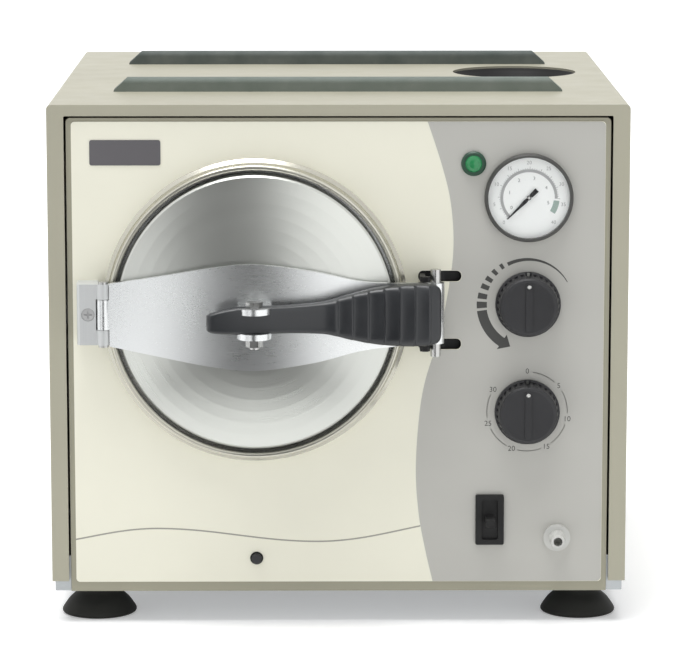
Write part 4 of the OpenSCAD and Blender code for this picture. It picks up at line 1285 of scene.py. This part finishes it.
@dataclass
class Feet(Assembly):
    """The four rubber feet, whose sides flare out to the floor."""

    radius: float = 25.3
    height: float = 22
    recess: Point2 = (6, 8)
    side: tuple[Point2, ...] = (
        (22.6, 0), (24.4, 0.5), (25.25, 1.7), (24.9, 3.0), (23.9, 4.7), (20.7, 9.2), (17.8, 12),
        (15.2, 14.2), (13.6, 17), (13.2, 22),
    )

    def build(self) -> None:
        """Turns the feet, each with its screw's recess."""
        low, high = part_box("feet")
        inset = self.radius * MM
        hole, deep = self.recess
        profile = [(0, deep), (hole, deep), (hole, 0), *catmull(self.side, 4), (0, self.height)]
        feet = Piece("rubber_feet")
        for x in (low.x + inset, high.x - inset):
            for y in (low.y + inset, high.y - inset):
                feet.turn_upright(profile, (x, y))
        feet.done(self.palette.get(Finish.RUBBER), 40, ("feet",))


@dataclass
class PanLips(Assembly):
    """The folded front corners of the base pan."""

    height: float = 24
    gap: float = 0.25
    edge: float = 0.6
    inset: float = 0.1
    thick: float = 0.8

    def build(self) -> None:
        """Folds a short lip across each front corner."""
        low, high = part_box("base_pan")
        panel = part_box("front_panel")[1].x / MM
        lips = Piece("base_pan_lips")
        foot, head = low.z / MM + self.inset, low.z / MM + self.height
        level = (FACE_Y - low.y) / MM - self.inset
        for side in (-1, 1):
            inner, outer = side * (panel + self.gap), side * (high.x / MM - self.edge)
            lips.sheet([(inner, foot), (outer, foot), (outer, head), (inner, head)], level, self.thick)
        lips.done(self.palette.get(Finish.ZINC))


@dataclass
class Fittings(Assembly):
    """The hinge bracket's plate and washer, and a black sheet behind the fill and vent lever that paints the
    shade deep in its slot.
    """

    washer: tuple[Point2, ...] = (
        (4.2, -1.3), (4.5, -0.9), (5.2, -0.9), (5.4, -1.1), (5.4, -1.8), (4.2, -1.8), (4.2, -1.3),
    )
    # Margins, corner and level of the black sheet of painted shade inside the lever's bezel
    slot_shade_margins: Point2 = (8, 7)
    slot_shade_corner: float = 1.4
    slot_shade_level: float = 0.08

    def build(self) -> None:
        """Dresses the bracket and adds both small pieces."""
        plate = Brushed("bracket_plate", srgb(204, 206, 206), 0.45, Axis.Z, 900.0, 0.3).make()
        frame["nodes"]["hinge_bracket"].data.materials[0] = plate
        head = Brushed("screw_plate", srgb(188, 188, 188), 0.45, Axis.Z, 900.0, 0.25).make()
        frame["nodes"]["hinge_screws"].data.materials[0] = head
        out = (FACE_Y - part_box("hinge_screws")[0].y) / MM
        washer = Piece("hinge_washer")
        washer.spin([(radius, out + rise) for radius, rise in self.washer], centre_mm("hinge_screws"), 48)
        washer.done(self.palette.get(Finish.DARK_STEEL))
        # A flat black sheet on the film inside the lever's bezel: painted shade standing for the depth of the
        # lever's slot
        low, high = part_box("lever_bezel")
        width = (high.x - low.x) / MM - self.slot_shade_margins[0]
        height = (high.z - low.z) / MM - self.slot_shade_margins[1]
        slot_shade = Piece("lever_slot_shade")
        slot_shade.sheet(rounded(centre_mm("lever_bezel"), width, height, self.slot_shade_corner), self.slot_shade_level)
        slot_shade.done(self.palette.get(Finish.BLACK), None)


@dataclass
class Softened(Assembly):
    """CAD nodes whose edges only need a small radius."""

    small: float = 0.4
    large: float = 0.5

    def build(self) -> None:
        """Rounds the edges of the metalwork."""
        self.smooth(("pivot_bolt", "pivot_nut", "pivot_clevis", "hinge_bracket", "latch_hooks"), self.small)
        self.smooth(("top_rails", "lever_bezel", "valve_lever", "cross_bar"), self.large)


# ---------------------------------------------------------------- scene


@dataclass(frozen=True)
class Sun:
    """A sun lamp: the way its light travels, its strength and its apparent size in degrees."""

    name: str
    aim: Point3
    power: float
    spread: float

    def place(self) -> None:
        """Adds the lamp."""
        data = bpy.data.lights.new(self.name, "SUN")
        data.energy = self.power
        data.angle = math.radians(self.spread)
        made = bpy.data.objects.new(self.name, data)
        made.rotation_euler = Vector(self.aim).to_track_quat("-Z", "Y").to_euler()
        bpy.context.scene.collection.objects.link(made)


@dataclass(frozen=True)
class Card:
    """A grey card out of the picture, which only reflections show."""

    name: str
    corners: tuple[Point3, ...]
    grey: float

    def place(self) -> None:
        """Sets up the card."""
        data = bpy.data.meshes.new(self.name)
        data.from_pydata(self.corners, [], [(0, 1, 2, 3)])
        made = bpy.data.objects.new(self.name, data)
        bpy.context.scene.collection.objects.link(made)
        g = Graph(self.name)
        g.set(Base_Color=(self.grey, self.grey, self.grey * 1.05), Roughness=0.9, Specular_IOR_Level=0.1)
        data.materials.append(g.material)
        made.visible_camera = False
        made.visible_diffuse = False
        made.visible_shadow = False


@dataclass
class Studio:
    """Camera, lights and the pale ground."""

    target: Vector = field(default_factory=lambda: Vector((-0.0089, -2.5298, 0.5967)))
    pitch: float = -9.571
    yaw: float = -0.398
    lens: float = 186.01
    suns: tuple[Sun, ...] = (
        Sun("high", (0.1, 0.1, -1.0), 2.85, 40),
        Sun("front", (0.45, 1.0, -0.3), 0.45, 100),
        Sun("side", (-0.46, 0.83, -0.31), 0.2, 45),
    )
    cards: tuple[Card, ...] = (
        Card("card_floor", ((-0.55, -3.3, 0.002), (0.22, -3.3, 0.002), (0.12, -0.46, 0.002),
                            (-0.27, -0.46, 0.002)), 0.01),
        Card("card_left", ((-3.2, -3.3, 0.002), (-1.2, -3.3, 0.002), (-0.7, -0.75, 0.002),
                           (-1.6, -0.75, 0.002)), 0.3),
        Card("card_back", ((-1.3, -3.3, 0.0), (0.28, -3.3, 0.0), (0.28, -3.3, 3.4), (-1.3, -3.3, 3.4)), 0.03),
    )
    floor_size: float = 40
    floor_back: float = 8.0
    floor_glow: float = 0.28
    ambient: Colour = (0.3, 0.305, 0.31)

    def camera(self) -> None:
        """Places the camera for the front view."""
        data = bpy.data.cameras.new("camera")
        data.lens = self.lens
        data.sensor_width = 36
        made = bpy.data.objects.new("camera", data)
        made.location = self.target
        made.rotation_euler = (math.radians(90 + self.pitch), 0, math.radians(self.yaw))
        bpy.context.scene.collection.objects.link(made)
        bpy.context.scene.camera = made

    @staticmethod
    def shown(tree: bpy.types.NodeTree) -> bpy.types.NodeSocket:
        """Gives 1 for rays that show the background and 0 for rays that only light things.

        Args:
            tree: The node tree that uses it.

        Returns:
            The socket of the value.
        """
        ray = tree.nodes.new("ShaderNodeLightPath")
        total = ray.outputs["Is Camera Ray"]
        for kind in ("Is Glossy Ray", "Is Transmission Ray"):
            add = tree.nodes.new("ShaderNodeMath")
            add.use_clamp = True
            tree.links.new(total, add.inputs[0])
            tree.links.new(ray.outputs[kind], add.inputs[1])
            total = add.outputs[0]
        return total

    def ground(self) -> None:
        """Lays the white floor, which keeps the shadow."""
        bpy.ops.mesh.primitive_plane_add(size=self.floor_size, location=(0, self.floor_back, 0))
        floor = bpy.context.object
        floor.name = "floor"
        g = Graph("floor")
        tone = g.blend(g.noise(3.0, g.coords(), 2.0), (0.9, 0.9, 0.9), (0.92, 0.92, 0.92))
        g.set(Base_Color=tone, Roughness=0.8, Specular_IOR_Level=0.1, Emission_Color=(1.0, 1.0, 1.0),
              Emission_Strength=g.math("MULTIPLY", self.shown(g.tree), self.floor_glow))
        floor.data.materials.append(g.material)

    def sky(self) -> None:
        """Shows white where the background is seen and gives a soft grey light elsewhere."""
        world = bpy.data.worlds.new("room")
        bpy.context.scene.world = world
        world.use_nodes = True
        tree = world.node_tree
        back = tree.nodes["Background"]
        seen = tree.nodes.new("ShaderNodeMix")
        seen.data_type = "RGBA"
        seen.inputs[MIX_FIRST].default_value = (*self.ambient, 1)
        seen.inputs[MIX_SECOND].default_value = (1, 1, 1, 1)
        tree.links.new(self.shown(tree), seen.inputs[MIX_SHARE])
        tree.links.new(seen.outputs[MIX_RESULT], back.inputs["Color"])
        back.inputs["Strength"].default_value = 1.0

    def build(self) -> None:
        """Sets the whole stage."""
        bpy.context.scene.view_settings.view_transform = "Standard"
        self.camera()
        for item in (*self.suns, *self.cards):
            item.place()
        self.ground()
        self.sky()


@dataclass
class Autoclave:
    """The whole machine."""

    palette: Palette = field(default_factory=Palette)

    def build(self) -> None:
        """Dresses every CAD node and builds each sub-assembly."""
        self.palette.dress_nodes()
        for kind in (Overlay, Scales, Gauge, Knobs, Lamp, Feet, PanLips, Fittings, Softened, LeverHandle):
            kind(self.palette).build()


def main() -> None:
    """Builds the scene."""
    logging.basicConfig(level=logging.INFO, format="%(name)s %(message)s")
    Autoclave().build()
    Studio().build()


if __name__ == "__main__":
    main()
